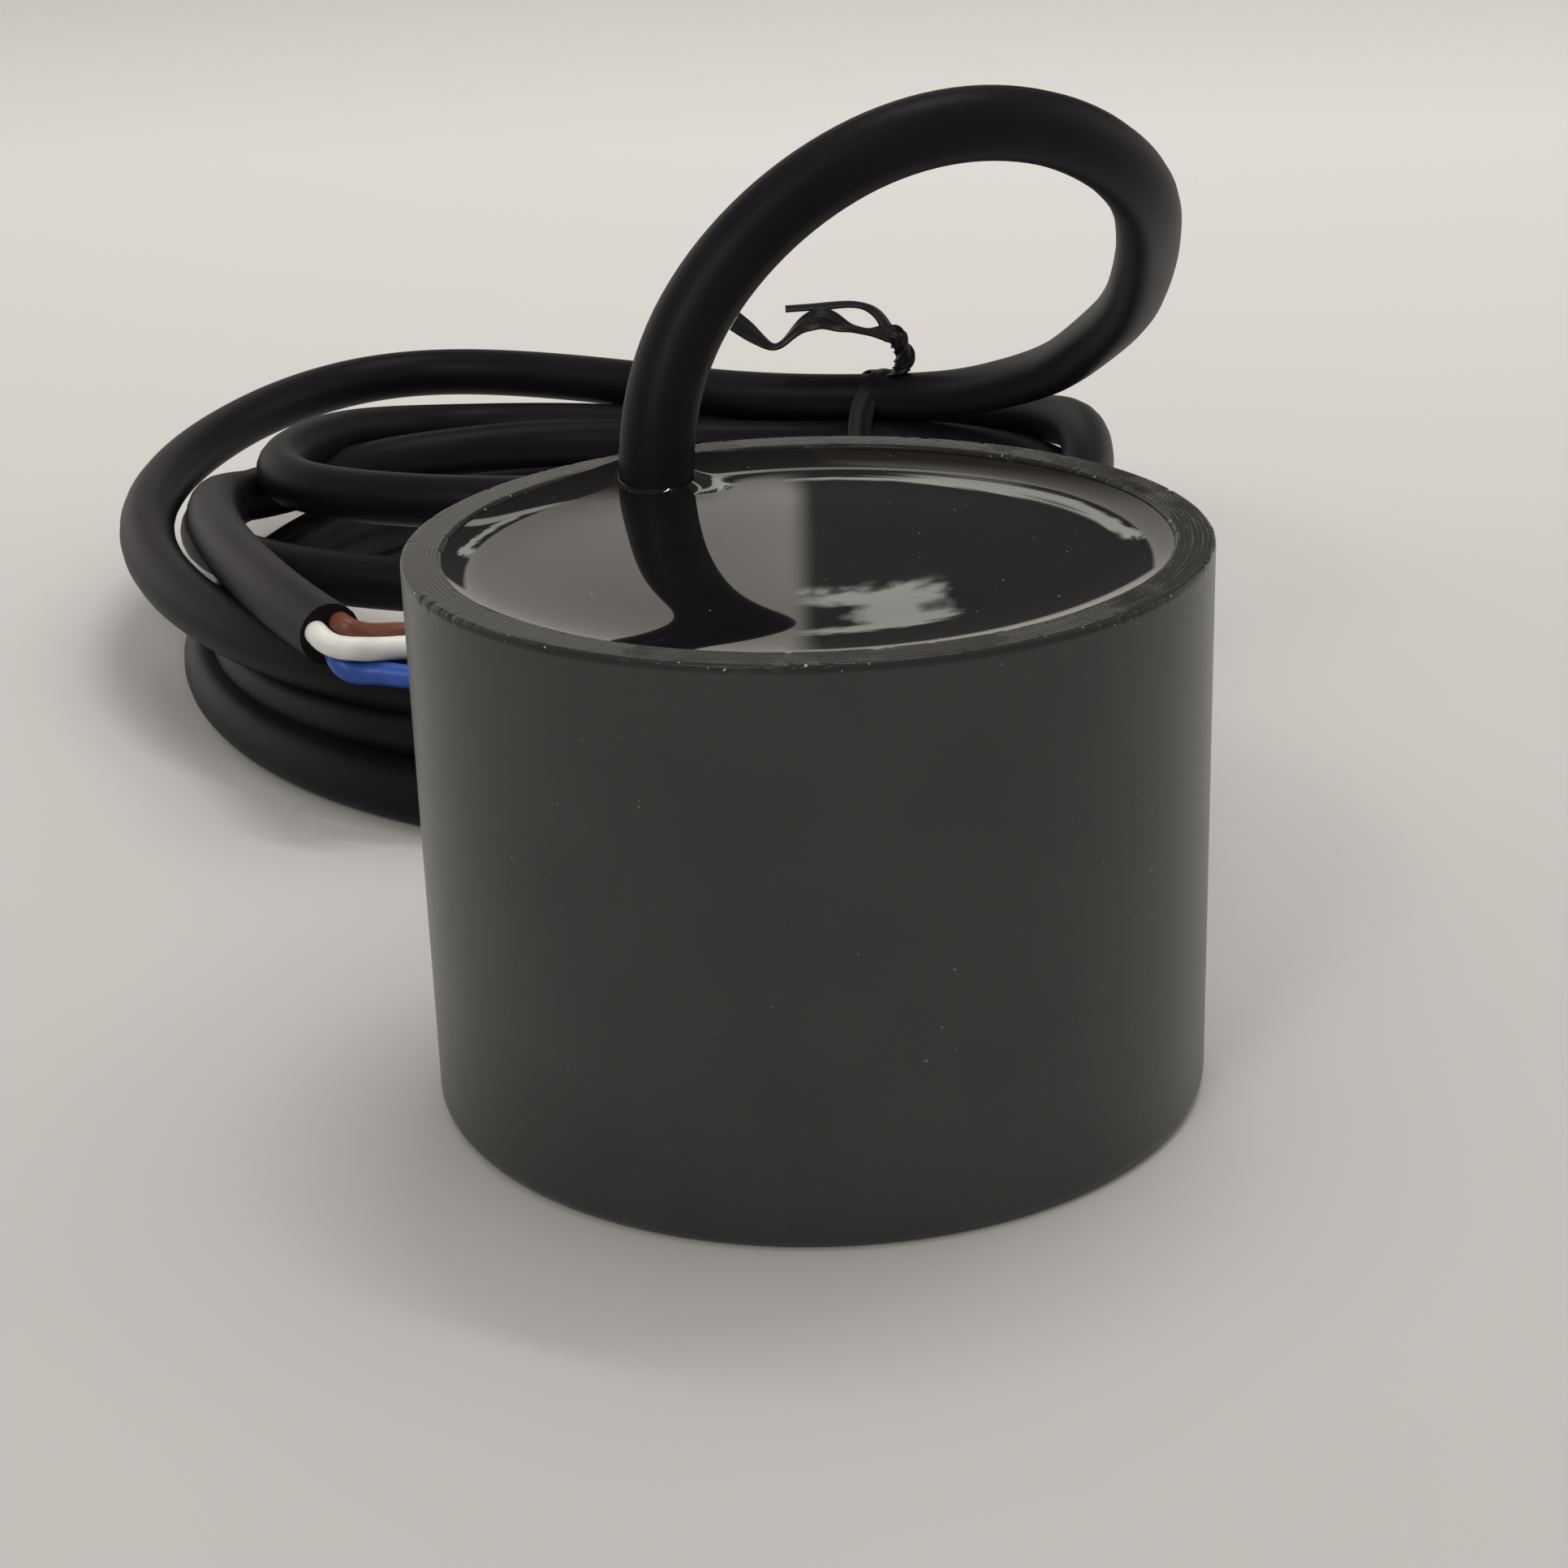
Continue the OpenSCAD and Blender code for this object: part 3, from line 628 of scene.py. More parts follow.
@dataclass
class Cup:
    """The housing: a turned plastic cup whose floor is the sounding window.

    Attributes:
        radius: Outer radius.
        height: Height over the rim.
        wall: Thickness of the side.
        floor: Thickness of the sounding window.
        foot: Radius on the lower outer edge.
        corner: Radius between the floor and the bore.
        rim_break: Size of the break on the rim's two edges.
        row: Distance from an edge to the row of points beside it.
        worn: Distance from an edge in which its nicks fade.
        waves: Height of the slow waves along the rim's edges.
        around: Points in a full turn.
    """

    radius: float = 25 * MM
    height: float = 36 * MM
    wall: float = 2.5 * MM
    floor: float = 3 * MM
    foot: float = 1 * MM
    corner: float = 0.8 * MM
    rim_break: float = 0.25 * MM
    row: float = 0.06 * MM
    worn: float = 0.6 * MM
    waves: float = 0.012 * MM
    around: int = 1080

    @property
    def bore(self) -> float:
        """Radius of the bore."""
        return self.radius - self.wall

    def profile(self) -> np.ndarray:
        """Radius and height from the lower centre, up the side, over the rim and down the bore."""
        near, edge, top = self.row, self.rim_break, self.height
        rim = np.linspace(self.radius - edge - near, self.bore + edge + near, 9)
        parts = [
            [(0, 0), (self.radius - self.foot - near, 0)],
            arc((self.radius - self.foot, self.foot), self.foot, -90, 0, 10),
            [(self.radius, self.foot + near)],
            [(self.radius, top - edge - down * near) for down in (30, 12, 6, 1)],
            arc((self.radius - edge, top - edge), edge, 0, 90, 6),
            np.stack([rim, np.full(len(rim), top)], -1),
            arc((self.bore + edge, top - edge), edge, 90, 180, 6),
            [(self.bore, top - edge - down * near) for down in (1, 6, 12, 30)],
            [(self.bore, self.floor + self.corner + near)],
            arc((self.bore - self.corner, self.floor + self.corner), self.corner, 0, -90, 6),
            [(self.bore - self.corner - near, self.floor), (0, self.floor)],
        ]
        return np.vstack([np.array(part, float) for part in parts])

    def wear(self, profile: np.ndarray) -> np.ndarray:
        """Nicks in the rim's outer and inner edges.

        Near each edge a point moves towards the wall's middle and down, by a
        random value round the rim where that is high, times how near it is.
        """
        ring = profile[1:-1]
        moved = np.zeros((len(ring), self.around, 2))
        edges = ((self.radius, -1, 0.16, 5), (self.bore, 1, 0.12, 11))
        for edge_r, inwards, deepest, seed in edges:
            away = np.hypot(ring[:, 0] - edge_r, ring[:, 1] - self.height)
            near = np.clip(1 - away / self.worn, 0, 1)[:, None]
            high = np.clip(smooth_random(self.around, seed, passes=2) - 1.0, 0, 2)
            nick = high * deepest * MM / 2
            waviness = self.waves * smooth_random(self.around, seed + 1, passes=40)
            moved[..., 0] += inwards * near * (nick + waviness)
            moved[..., 1] -= near * nick * 0.8
        return moved

    def build(self) -> None:
        """Make the cup and dress it."""
        profile = self.profile()
        cup = surface("cup", *lathe(profile, self.wear(profile)))
        dress(cup, "housing", "housing_cup")


@dataclass
class Resin:
    """The potting resin: level, a little sunk beside the wall, with a climb there and at the cord.

    Attributes:
        cup: The cup that it fills.
        level: Height of its surface on the axis.
        sunk: How much lower it has set beside the wall.
        sunk_at: Distance from the wall where it has fallen half of that.
        sunk_over: Distance that the middle quarter of the fall takes.
        wall_climb: Height of the climb at the wall.
        wall_reach: Distance in which that climb fades.
        cord_climb: Height of the climb round the cord.
        cord_reach: Distance in which that climb fades.
        lobe: How much farther it reaches in one direction.
        lobe_turn: That direction's turn to the right of +X, in degrees.
        wedge: Height of the climb in the narrow gap between cord and wall.
        wedge_reach: Distance in which that climb fades.
        exit_at: The cord's place in the resin.
        exit_r: Radius of the hole for the cord.
        grip_z: Lower end of the cord in the resin.
        rays: Number of lines from the cord to the wall.
        steps: Points on each line.
    """

    cup: Cup
    level: float = 35 * MM
    sunk: float = 0.24 * MM
    sunk_at: float = 8.5 * MM
    sunk_over: float = 1.8 * MM
    wall_climb: float = 0.92 * MM
    wall_reach: float = 2.2 * MM
    cord_climb: float = 0.4 * MM
    cord_reach: float = 0.3 * MM
    lobe: float = 4.0
    lobe_turn: float = 8
    wedge: float = 0.8 * MM
    wedge_reach: float = 2.6 * MM
    exit_at: Pair = (-10 * MM, 16.97 * MM)
    exit_r: float = 2.53 * MM
    grip_z: float = 28 * MM
    rays: int = 540
    steps: int = 140

    def height(self, x: np.ndarray, y: np.ndarray) -> np.ndarray:
        """Height of the surface.

        The level, less a logistic step of the distance to the wall, plus two
        climbs that fade with the distance to the wall and to the cord, plus
        one in the gap between them that fades with the sum of both distances.
        The cord's climb reaches farther in one direction, by the eighth power
        of the cosine of half the angle to it. Where both climbs are high the
        larger one rules: the sum of their fourth powers, to the power of a
        quarter.
        """
        to_wall = np.clip(self.cup.bore - np.hypot(x, y), 0, None)
        off_x, off_y = x - self.exit_at[0], y - self.exit_at[1]
        to_cord = np.clip(np.hypot(off_x, off_y) - self.exit_r, 0, None)
        around = np.arctan2(off_y, off_x) + math.radians(self.lobe_turn)
        reach = self.cord_reach * (1 + self.lobe * np.cos(around / 2) ** 8)
        wall = self.wall_climb * np.exp(-to_wall / self.wall_reach)
        cord = self.cord_climb * np.exp(-to_cord / reach)
        plane = self.level - self.sunk / (1 + np.exp((to_wall - self.sunk_at) / self.sunk_over))
        wedge = self.wedge * np.exp(-(to_wall + to_cord) / self.wedge_reach)
        return plane + wedge + (wall**4 + cord**4) ** 0.25

    def build(self) -> None:
        """Make the resin and dress it.

        The top is a grid of straight lines from the cord's round hole to the
        bore: the share of the way runs close together at both ends. The bore,
        the floor and the hole's wall close it.
        """
        angle = full_turn(self.rays)
        ray = np.stack([np.cos(angle), np.sin(angle)], -1)
        centre = np.array(self.exit_at)
        along = ray @ centre
        reach = -along + np.sqrt(along**2 + self.cup.bore**2 - centre @ centre)
        share = (1 - np.cos(np.linspace(0, math.pi, self.steps))) / 2
        distance = self.exit_r + share[:, None] * (reach - self.exit_r)
        flat = centre + distance[..., None] * ray
        top = np.concatenate([flat, self.height(flat[..., 0], flat[..., 1])[..., None]], -1)
        bottom, hole = top[-1:].copy(), top[:1].copy()
        bottom[..., 2], hole[..., 2] = self.cup.floor, self.grip_z
        rings = np.concatenate([bottom, top[::-1], hole])
        poles = np.array([[0, 0, self.cup.floor], [*self.exit_at, self.grip_z]])
        dress(surface("potting", *capped(rings, poles)), "potting_resin", "potting_resin")


# The cord


def rising(first: np.ndarray, last: np.ndarray, count: int) -> np.ndarray:
    """Points from one place to another that start and end level with X.

    X runs evenly, and Y and Z follow half a cosine wave.

    Args:
        first: The first place.
        last: The last one.
        count: Number of points.

    Returns:
        The points, without the last place.
    """
    t = np.arange(count)[:, None] / count
    ease = (1 - np.cos(math.pi * t)) / 2
    return first + (last - first) * np.hstack([t, ease, ease])


def quarter(first: np.ndarray, last: np.ndarray, x_first: bool, count: int) -> np.ndarray:
    """Points on a quarter of an ellipse seen from above.

    One of X and Y follows the sine and the other 1 less the cosine, and Z
    follows half a cosine wave.

    Args:
        first: The first place.
        last: The last one.
        x_first: True where X follows the sine.
        count: Number of points.

    Returns:
        The points, without the last place.
    """
    t = np.arange(count)[:, None] / count * math.pi / 2
    sine, rest = np.sin(t), 1 - np.cos(t)
    flat = [sine, rest] if x_first else [rest, sine]
    return first + (last - first) * np.hstack([*flat, (1 - np.cos(2 * t)) / 2])


@dataclass
class Cord:
    """The cord: up through the resin, over its arch, five turns of coil and the cut end.

    Places are in millimetres here and in metres on the curve.

    Attributes:
        diameter: The jacket's diameter.
        step: Distance from one point of the curve to the next.
        bumps: Length along the cord over which bumps are evened out.
        per_part: Points on each part of a turn.
        per_front: Points on the part between two places at the front.
        potted: Places inside the resin.
        arch: Places from the resin's surface to the tie.
        turns: Each turn's places at the tie, back, left, front, where there
            are two front right, and right.
        run_out: Where the last stretch passes the tie, and its place at the back.
        run_up: Places from there to the left.
        tail: Places from there to the cut end.
    """

    diameter: float = 5.1
    step: float = 1.0
    bumps: float = 5.0
    per_part: int = 6
    per_front: int = 4
    potted: tuple[Point, ...] = ((-10, 17, 28), (-10, 17, 30.5), (-10, 17, 33))
    arch: tuple[Point, ...] = (
        (-10, 17, 35.5), (-9.9, 17.6, 38), (-9.5, 18.7, 40.5), (-8.7, 19.7, 43),
        (-7.5, 20.6, 45.2), (-5.3, 21.8, 48.1), (-2.7, 22.9, 50.8), (0.3, 24, 53),
        (3.6, 25.3, 54.8), (7.2, 26.3, 56.1), (11, 27.7, 56.7), (15.1, 29.8, 56.3),
        (19.2, 32.8, 55), (22.6, 36.5, 52.6), (25, 41.5, 49.8), (26.6, 49, 46.3),
        (27.7, 57.5, 42.8), (28.5, 67, 38.9), (29, 76.5, 35), (29, 86.5, 31),
        (28.3, 96, 27.3), (27, 105.5, 23.4), (24.8, 115, 19.4), (21.2, 123.5, 16.2),
        (16.5, 130, 13.7), (11.5, 134.5, 12.4),
    )
    turns: tuple[tuple[Point, ...], ...] = (
        ((6, 136.5, 12), (-42, 150.5, 13), (-63.9, 108, 12), (-12, 43.5, 10.4), (28.3, 118, 12.2)),
        (
            (6, 139.2, 7.5), (-35.3, 143, 8.4), (-52.5, 110.5, 12.7), (-18, 93.5, 12.9),
            (8, 93.5, 10), (23, 110, 2.6),
        ),
        ((6, 131.5, 3.1), (-24, 132.5, 2.6), (-53, 89.5, 4.5), (-10, 42.5, 6.8), (27.2, 106, 2.6)),
        ((6, 136.6, 3.1), (-33, 139, 2.6), (-56.3, 94, 2.6), (-10, 38.5, 2.6), (32.3, 108, 2.6)),
        (
            (6, 141.7, 3.1), (-34, 144.2, 2.6), (-59.8, 107.5, 8), (-18, 82.5, 7.8),
            (4, 84.5, 5), (27.4, 112, 7.4),
        ),
    )
    run_out: tuple[Point, ...] = ((6, 134, 7.5), (-28, 134.2, 8.5))
    run_up: tuple[Point, ...] = (
        (-37, 131.8, 8.5), (-44.2, 128.3, 8.5), (-50.5, 122, 8.6), (-55.2, 114.8, 9),
    )
    tail: tuple[Point, ...] = (
        (-57.4, 106, 11), (-56.7, 97, 12.4), (-54.9, 87.5, 13.4), (-52.6, 79.4, 14.2),
        (-49.8, 71.4, 14.8), (-46.3, 63, 15.2), (-42.4, 54.5, 15.5), (-38, 46.5, 15.6),
    )

    def turn(self, places: tuple[Point, ...], following: np.ndarray) -> np.ndarray:
        """The points of one turn of the coil, up to the next turn's tie.

        Args:
            places: The turn's places.
            following: Where the next turn passes the tie.

        Returns:
            Its points, without the place that follows.
        """
        tie, back, left, *front, right = np.array(places, float)
        parts = [
            rising(tie, back, self.per_part),
            quarter(back, left, True, self.per_part),
            quarter(left, front[0], False, self.per_part),
            *(rising(*pair, self.per_front) for pair in zip(front, front[1:])),
            quarter(front[-1], right, True, self.per_part),
            quarter(right, following, False, self.per_part),
        ]
        return np.vstack(parts)

    def passes(self) -> np.ndarray:
        """Where each turn, and then the last stretch, passes the tie."""
        return np.array([places[0] for places in self.turns] + [self.run_out[0]], float)

    def line(self) -> np.ndarray:
        """The cord's centre line from its end in the resin to its cut end, in metres."""
        coil = [self.turn(*pair) for pair in zip(self.turns, self.passes()[1:])]
        last = rising(*np.array(self.run_out, float), self.per_part - 1)
        last_stretch = [last, self.run_out[1:], self.run_up, self.tail]
        knots = np.vstack([self.potted, self.arch, *coil, *last_stretch])
        return evened(spline_through(knots * MM, self.step * MM), self.bumps / self.step)

    def cut_end(self) -> tuple[np.ndarray, np.ndarray, np.ndarray, np.ndarray]:
        """Where the cord is cut, in metres, and the directions on, to the side and up."""
        before, last = (np.array(p, float) for p in self.tail[-2:])
        on = unit(last - before)
        side = unit(np.cross(on, (0, 0, 1)))
        return last * MM, on, side, np.cross(side, on)

    def build(self, on_it: list[Piece]) -> None:
        """Args:
            on_it: The separate pieces on the cord. Not used.
        """
        line = self.line()
        curve = bpy.data.curves.new("cord", "CURVE")
        curve.dimensions = "3D"
        curve.bevel_depth = self.diameter * MM / 2
        curve.bevel_resolution = 8
        curve.use_fill_caps = True
        spline = curve.splines.new("POLY")
        spline.points.add(len(line) - 1)
        spline.points.foreach_set("co", np.hstack([line, np.ones((len(line), 1))]).ravel())
        spline.use_smooth = True
        cord = shown("cord", curve)
        dress(cord, "cord_jacket", "cord_potted_end", "cord_arch", "cord_coil", "cord_tail")


class Core(Enum):
    """The cord's three wires: the angle where each leaves its end, in degrees."""

    BROWN = 140
    WHITE = 20
    BLUE = 260


@dataclass
class Wires:
    """The three insulated wires out of the cord's cut end, with bare tinned strands.

    Sizes and places are in millimetres.

    Attributes:
        cord: The cord that they come out of.
        diameter: Diameter of one insulated wire.
        bare: Bare length at each end.
        strand: Diameter of one strand.
        lay: Length of the strands in which they turn once.
        uneven: Share by which the strands' distances from the middle one differ.
        splay: Share by which those distances grow towards the end.
        inside: How far inside the cord the wires start.
        apart: How much farther than touching the wires leave the cord.
    """

    cord: Cord
    diameter: float = 1.9
    bare: float = 5.0
    strand: float = 0.33
    lay: float = 9.0
    uneven: float = 0.08
    splay: float = 0.25
    inside: float = 0.6
    apart: float = 0.12

    ROUTES = {
        Core.BROWN: (
            (-36.65, 46, 16.25), (-35.6, 46.45, 15.65), (-34.2, 47.8, 15.05), (-32.6, 48.8, 14.75),
            (-27, 48.7, 13.9), (-21, 47.3, 13.2), (-14, 46.3, 13.05),
        ),
        Core.WHITE: (
            (-38.45, 45, 15.75), (-37.7, 44.5, 15.4), (-36.6, 44.3, 15.15), (-35.3, 44.6, 14.95),
            (-33.9, 45.5, 14.6), (-32.3, 46.3, 14.4), (-27, 46.4, 14.15), (-21, 44.9, 14),
            (-13.5, 43.9, 13.95),
        ),
        Core.BLUE: (
            (-37.5, 45.8, 14.1), (-37.05, 45.1, 13.5), (-36.4, 44.85, 13.05), (-35.5, 44.95, 12.85),
            (-34.1, 44.85, 12.8), (-31.6, 44.3, 12.6), (-27, 43.3, 12.9), (-21, 42, 13.1),
            (-13, 41.3, 13.2),
        ),
    }

    def line(self, core: Core) -> np.ndarray:
        """A wire's centre line, from inside the cord's end to its own end, in metres."""
        end, on, side, up = self.cord.cut_end()
        ring = (self.diameter / math.sqrt(3) + self.apart) * MM
        angle = math.radians(core.value)
        start = end + ring * (math.cos(angle) * side + math.sin(angle) * up)
        route = np.array(self.ROUTES[core]) * MM
        knots = np.vstack([start - self.inside * MM * on, start, route])
        return evened(spline_through(knots, 0.25 * MM), 3)

    def strands(self, core: Core) -> Shape:
        """The seven bare strands at a wire's end, six of them laid round the last.

        A strand's centre is a helix about the wire's last direction. The six
        lie a little unevenly and spread towards their ends.

        Returns:
            Points and faces.
        """
        line = self.line(core)
        on = unit(line[-1] - line[-3])
        side = unit(np.cross(on, (0, 0, 1)))
        up = np.cross(side, on)
        far = np.linspace(-0.5, self.bare, 26)
        section = round_section(self.strand * MM, 10)
        made = []
        for strand in range(7):
            angle = math.radians(60 * strand) + 2 * math.pi * far / self.lay
            out = 0.0 if strand == 6 else self.strand * MM * (1 + self.uneven * math.sin(3 * strand))
            spread = out * (1 + self.splay * np.clip(far / self.bare, 0, 1) ** 2)
            centre = line[-1] + far[:, None] * MM * on
            for reach, direction in ((np.cos(angle), side), (np.sin(angle), up)):
                centre = centre + (spread * reach)[:, None] * direction
            made.append(swept(centre, section, up))
        return merged(made)

    def build(self) -> list[Piece]:
        """Make the wires and their strands, dress them and return them."""
        made = []
        section = round_section(self.diameter * MM, 28)
        for core in Core:
            name = core.name.lower()
            wire = surface(f"{name}_wire", *swept(self.line(core), section, (0, 0.3, 1)))
            made.append(dress(wire, f"wire_{name}", f"wire_{name}"))
        strands = surface("bare_strands", *merged([self.strands(core) for core in Core]))
        made.append(dress(strands, "tinned_copper", "wire_strands"))
        return made


@dataclass
class TwistTie:
    """The twist tie: a plastic strip with a wire inside, round the bundle and twisted shut.

    Sizes and places are in millimetres.

    Attributes:
        cord: The cord that it holds.
        at: Place of the band along X.
        width: Width of the strip.
        edge: Thickness of the strip beside its wire.
        core: Thickness over its wire.
        ridge: Distance from the middle in which the ridge over the wire fades.
        round_off: Power of the sine that rounds the strip's edges off.
        tight: How far the band presses into the cord.
        lowest: Least height of the band's middle.
        step: Distance from one point of the twisted strips to the next.
        half_turns: Half turns that each strip makes round the other.
        apart: Distance from the knot's line to each strip's middle.
        lean: The band's lean towards the knot, for some heights.
        knot: Places of the line that the two strips wind about.
        end_a: Places of one free end, each with its turn in degrees.
        end_b: The same of the other one.
    """

    cord: Cord
    at: float = 6.0
    width: float = 2.6
    edge: float = 0.3
    core: float = 0.7
    ridge: float = 0.42
    round_off: float = 0.35
    tight: float = 0.1
    lowest: float = 0.32
    step: float = 0.08
    half_turns: float = 2.2
    apart: float = 0.5
    lean: tuple[Pair, ...] = ((10, 0), (12, 0.5), (13.6, 1.5), (14.8, 2.9))
    knot: tuple[Point, ...] = (
        (10.4, 134.7, 14.8), (10.8, 134.5, 16), (10.9, 134.4, 17.1), (10.6, 134.3, 18.1),
        (9.9, 134.2, 19.1),
    )
    end_a: tuple[tuple[float, ...], ...] = (
        (8.6, 133.7, 19.5, 70), (7.2, 133.4, 19.8, 88), (5.4, 133.3, 20.3, 85), (3.7, 133.2, 21, 55),
        (2.2, 133, 21.5, 40), (1, 132.8, 21.2, 52), (-0.2, 132.5, 20.6, 72), (-1.5, 132.2, 19.5, 84),
        (-2.8, 132, 18.8, 90), (-4.1, 132, 19.4, 75), (-5.6, 132, 20.6, 55), (-7, 132, 21.7, 48),
    )
    end_b: tuple[tuple[float, ...], ...] = (
        (9.3, 135.2, 19.7, 70), (8.7, 135.9, 20.6, 72), (7.8, 136, 21.5, 80), (6.6, 136, 22.1, 88),
        (5.1, 136, 22.3, 88), (2.9, 136, 22.2, 86), (0.8, 136, 22.1, 88), (-1.6, 136, 22, 88),
    )

    def section(self, flatten: float = 1.0) -> np.ndarray:
        """The strip's section: a flat band with round edges and a low ridge over its wire.

        Half the thickness is that of the edge plus the ridge, which fades with
        the fourth power of the distance from the middle. The whole is brought
        to nothing at the edges by a power of the sine.

        Args:
            flatten: Share of the ridge that is left.

        Returns:
            The outline in metres, anticlockwise.
        """
        angle = full_turn(36)
        across, sine = np.cos(angle) * self.width / 2, np.sin(angle)
        ridge = flatten * (self.core - self.edge) / 2 * np.exp(-((across / self.ridge) ** 4))
        half = (self.edge / 2 + ridge) * np.abs(sine) ** self.round_off
        return np.stack([across, np.sign(sine) * half], -1) * MM

    def band_line(self) -> np.ndarray:
        """The band's closed line round the cord's passes, in metres.

        For each direction the point is that of the outermost pass, plus the
        cord's radius and half the strip along the direction.
        """
        angle = full_turn(720)
        out = np.stack([np.cos(angle), np.sin(angle)], -1)
        passes = self.cord.passes()[:, 1:] * MM
        outermost = passes[np.argmax(out @ passes.T, axis=1)]
        grown = outermost + out * (self.cord.diameter / 2 + self.core / 2 - self.tight) * MM
        grown[:, 1] = np.maximum(grown[:, 1], self.lowest * MM)
        loop = np.vstack([grown, grown[:1]])
        run = distances(loop)
        even = np.linspace(0, run[-1], 160, endpoint=False)
        y, z = (np.interp(even, run, loop[:, i]) for i in (0, 1))
        lean = np.interp(z, *(np.array(self.lean).T * MM))
        return evened(np.stack([self.at * MM + lean, y, z], -1), 2.5)

    def strip(self, name: str, phase: float, end: tuple[tuple[float, ...], ...]) -> Piece:
        """One end of the tie: its turn about the knot's line, then its free end.

        In the knot the strip lies flat against the other one, so that its wide
        direction is across both the knot's line and the way out from it. In
        the free end the wide direction is turned from Z towards Y, by the
        fourth number of each place.

        Args:
            name: The piece's name.
            phase: Angle at which it starts round the knot, in radians.
            end: The free end's places, each with its turn in degrees.

        Returns:
            The new object.
        """
        knot = spline_through(np.array(self.knot) * MM, self.step * MM)
        along, side, up = carried(knot, (0, 1, 0.2))
        angle = (phase + np.linspace(0, self.half_turns * math.pi, len(knot)))[:, None]
        out = np.cos(angle) * side + np.sin(angle) * up
        wound, across = knot + self.apart * MM * out, np.cross(along, out)
        places = np.vstack([[*(wound[-1] / MM), end[0][3]], np.array(end, float)])
        free = spline_through(places[:, :3] * MM, self.step * MM)
        reached = distances(places[:, :3])
        turn = np.interp(np.linspace(0, reached[-1], len(free)), reached, places[:, 3])
        turn = np.radians(turn)[:, None]
        fall = carried(free, (0, 1, 0))
        wide = np.cos(turn) * np.cross(fall[1], fall[0]) + np.sin(turn) * fall[1]
        wide *= np.sign((wide[0] * across[-1]).sum())
        line = evened(np.vstack([wound, free[1:]]), 6)
        return surface(name, *swept(line, self.section(), evened(np.vstack([across, wide[1:]]), 6)))

    def build(self) -> list[Piece]:
        """Make the band and its two twisted ends as one piece, dress it and return it."""
        loop = swept(self.band_line(), self.section(0.5), (1, 0, 0), closed=True)
        band = surface("twist_tie_strip", *loop)
        ends = [self.strip("end_a", 0.0, self.end_a), self.strip("end_b", math.pi, self.end_b)]
        chosen = {"active_object": band, "object": band, "selected_editable_objects": [band, *ends]}
        with bpy.context.temp_override(**chosen):
            bpy.ops.object.join()
        return [dress(band, "tie_plastic", "twist_tie")]


# Sealed pieces


def dress_sealed() -> None:
    """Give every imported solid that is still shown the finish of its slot."""
    slots = {part["node"]: part["material_slot"] for part in frame["record"]["subparts"]}
    for name, solid in frame["nodes"].items():
        if solid.hide_render:
            continue
        for place in solid.material_slots:
            place.material = FINISHES[slots[name]].material()
        log.info("%s keeps its solid, in %s", name, slots[name])


# The studio


@dataclass
class Viewpoint:
    """The camera where the photograph was taken from.

    Attributes:
        place: The camera's place.
        yaw: Turn to the right of +Y, in degrees.
        pitch: Tilt above the horizon, in degrees.
        roll: Turn about the line of sight, in degrees.
        lens: Focal length for a sensor 36 mm wide, in millimetres.
    """

    place: Point = (0, -0.1730, 0.0859)
    yaw: float = -0.63
    pitch: float = -20.96
    roll: float = -1.85
    lens: float = 66.73

    def build(self) -> None:
        """Make the camera: its right and up turned by the roll, and its back against its sight."""
        yaw, pitch, roll = (math.radians(a) for a in (self.yaw, self.pitch, self.roll))
        flat = math.cos(pitch)
        sight = Vector((math.sin(yaw) * flat, math.cos(yaw) * flat, math.sin(pitch)))
        level = Vector((math.cos(yaw), -math.sin(yaw), 0))
        upright = level.cross(sight)
        right = math.cos(roll) * level + math.sin(roll) * upright
        up = math.cos(roll) * upright - math.sin(roll) * level
        data = bpy.data.cameras.new("viewpoint")
        data.lens, data.sensor_width = self.lens, 36.0
        data.clip_start, data.clip_end = 0.01, 20.0
        camera = shown("viewpoint", data)
        turned = Matrix((right, up, -sight)).transposed().to_4x4()
        camera.matrix_world = Matrix.Translation(self.place) @ turned
        bpy.context.scene.camera = camera


@dataclass
class Lamp:
    """A soft lamp that faces a point on the object.

    Attributes:
        name: The lamp's name.
        place: Its place.
        aim: The point that it faces.
        size: Its width and height.
        watts: Its power.
        mirrored: True where gloss shows it.
    """

    name: str
    place: Point
    aim: Point
    size: Pair
    watts: float
    mirrored: bool = True

    def build(self) -> None:
        """Make the lamp, unseen by the camera itself."""
        data = bpy.data.lights.new(self.name, "AREA")
        data.shape = "RECTANGLE"
        data.size, data.size_y = self.size
        data.energy = self.watts
        lamp = shown(self.name, data)
        lamp.location = self.place
        towards = Vector(self.aim) - Vector(self.place)
        lamp.rotation_euler = towards.to_track_quat("-Z", "Y").to_euler()
        lamp.visible_camera = False
        lamp.visible_glossy = self.mirrored


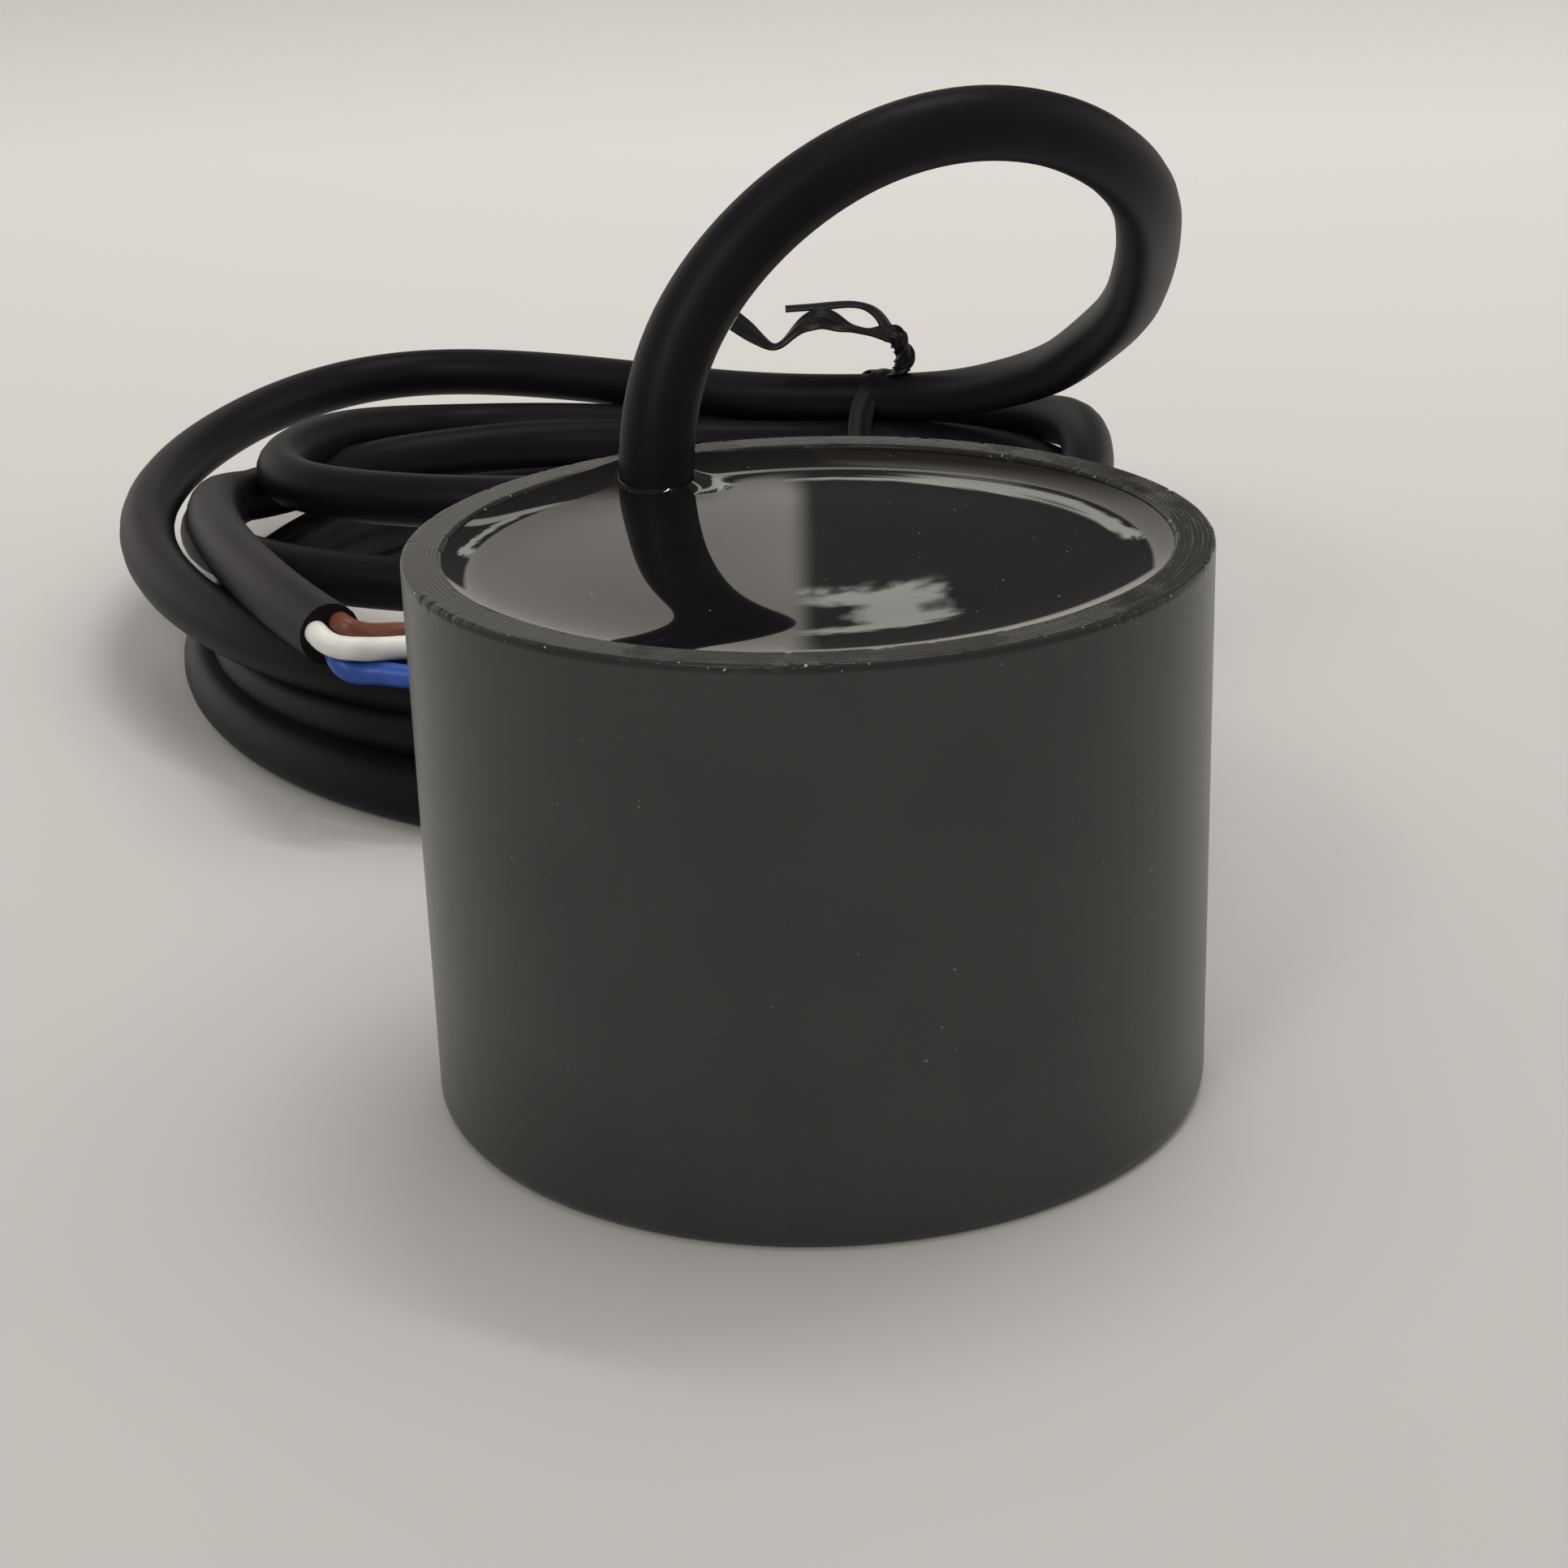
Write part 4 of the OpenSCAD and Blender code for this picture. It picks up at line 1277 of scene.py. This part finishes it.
@dataclass
class Studio:
    """The pale floor, the soft lamps and the room's own light.

    Attributes:
        floor_colour: The floor's colour before its two tones.
        nearer: Tone of the floor in front, a painted shade that darkens it.
        farther: Tone of the floor at the back, painted light that makes it paler.
        room_colour: What the camera sees behind the floor, and gloss on most sides.
        soft_colour: Colour of the light on the surfaces.
        soft_light: Strength of that light.
        lamps: The lamps.
    """

    floor_colour: Colour = (0.58, 0.56, 0.53)
    nearer: float = 0.8
    farther: float = 1.2
    room_colour: Colour = (0.84, 0.78, 0.72)
    soft_colour: Colour = (1.0, 0.98, 0.95)
    soft_light: float = 0.58
    lamps: tuple[Lamp, ...] = (
        Lamp("overhead", (0.2, 0.25, 0.9), (0, 0.05, 0), (1.0, 0.8), 3.6, mirrored=False),
        Lamp("strip", (0.1, 0.2, 0.7), (0, 0, 0.03), (0.3, 0.035), 1.0),
        Lamp("window", (-0.3, -0.65, 0.7), (0, 0.03, 0.02), (0.5, 0.4), 1.3),
        Lamp("key", (-0.3, -0.6, 0.6), (0, 0.03, 0.03), (0.14, 0.14), 0.9),
    )

    def floor(self) -> None:
        """Make the floor: one wide quad with a faint cloudy tone, with painted light that makes it
        paler towards the back and painted shade that darkens it in front.
        """
        reach = 3.0
        corners = [(-reach, -reach, 0), (reach, -reach, 0), (reach, reach, 0), (-reach, reach, 0)]
        floor = surface("floor", np.array(corners), [np.array([[0, 1, 2, 3]])])
        material = bpy.data.materials.new("pale_floor")
        sheet = Sheet(material)
        cloud = sheet.remap(sheet.noise(60 * MM, 2), MOST)
        darker = toned(self.floor_colour, 0.97)
        # Painted shade darkens the floor in front, and painted light makes it paler towards the back
        near = sheet.blend(cloud, toned(darker, self.nearer), toned(self.floor_colour, self.nearer))
        back = sheet.remap(sheet.xyz()[1], (-0.06, 0.4))
        colour = sheet.blend(back, near, toned(self.floor_colour, self.farther))
        sheet.feed(sheet.shader["Base Color"], colour)
        sheet.shader["Roughness"].default_value = 0.75
        sheet.shader["Specular IOR Level"].default_value = 0.2
        floor.data.materials.append(material)

    def gloss_view(self, sheet: Sheet) -> Socket:
        """What gloss shows in each direction.

        A dim corner of the room on the right behind the object, with a
        window's torn glow in it, a brighter left, a darker side behind the
        viewer and a dim ceiling: bands of the direction's X and Z over Y, each
        with soft ends.

        Args:
            sheet: The world's sheet.

        Returns:
            The colour.
        """
        x, y, z = sheet.xyz()
        ahead = sheet.remap(y, (0.2, 0.3))
        plain = [sheet.calc("DIVIDE", x, y), sheet.calc("DIVIDE", z, y)]
        ragged = sheet.product(sheet.calc("SUBTRACT", sheet.noise(0.015, 3), 0.5), 0.04)
        torn = [sheet.calc("ADD", value, ragged) for value in plain]

        def patch(places: list[Socket], *bands: tuple[float, float, float]) -> Socket:
            """1 where each place is in its band."""
            return sheet.product(*(sheet.band(place, *band) for place, band in zip(places, bands)))

        corner = sheet.product(patch(plain, (-0.002, 0.9, 0.006), (0.13, 9.0, 0.02)), ahead)
        window = patch(torn, (0.002, 0.052, 0.008), (0.322, 0.5, 0.006))
        notch = patch(torn, (-1.0, 0.02, 0.006), (0.352, 0.5, 0.005))
        window = sheet.product(window, sheet.calc("SUBTRACT", 1.0, notch))
        lamp = patch(plain, (0.0, 0.4, 0.02), (0.5, 0.56, 0.01))
        seen = self.room_colour
        for share, colour in (
            (sheet.product(patch(plain, (-0.5, 0.0, 0.05)), ahead), (0.6, 0.56, 0.52)),
            (sheet.product(patch(plain, (-9.0, -0.6, 0.15)), ahead), (1.15, 1.09, 1.03)),
            (sheet.remap(y, (-0.25, 0.0), (1, 0)), (0.3, 0.28, 0.26)),
            (sheet.remap(z, (0.42, 0.65)), (0.14, 0.115, 0.1)),
            (corner, (0.075, 0.075, 0.07)),
            (sheet.product(sheet.calc("MAXIMUM", window, lamp), ahead), (1.2, 1.25, 1.12)),
        ):
            seen = sheet.blend(share, seen, colour)
        return seen

    def room(self) -> None:
        """Make the room's light: soft for the surfaces, plain for the camera, a room for gloss."""
        world = bpy.data.worlds.new("room")
        bpy.context.scene.world = world
        sheet = Sheet(world, "Generated")
        path = sheet.node("ShaderNodeLightPath").outputs
        gloss = sheet.calc("MAXIMUM", path["Is Glossy Ray"], path["Is Transmission Ray"])
        soft = toned(self.soft_colour, self.soft_light)
        colour = sheet.blend(gloss, soft, self.gloss_view(sheet))
        colour = sheet.blend(path["Is Camera Ray"], colour, self.room_colour)
        sheet.feed(world.node_tree.nodes["Background"].inputs["Color"], colour)

    def build(self) -> None:
        """Make the floor, the room's light and the lamps."""
        self.floor()
        self.room()
        for lamp in self.lamps:
            lamp.build()
        bpy.context.scene.view_settings.view_transform = "Standard"


def main() -> None:
    """Build the scene and report each piece."""
    logging.basicConfig(level=logging.INFO, format="%(name)s: %(message)s")
    Viewpoint().build()
    cord = Cord()
    on_it = Wires(cord).build() + TwistTie(cord).build()
    cord.build(on_it)
    cup = Cup()
    cup.build()
    Resin(cup).build()
    dress_sealed()
    Studio().build()


if __name__ == "__main__":
    main()
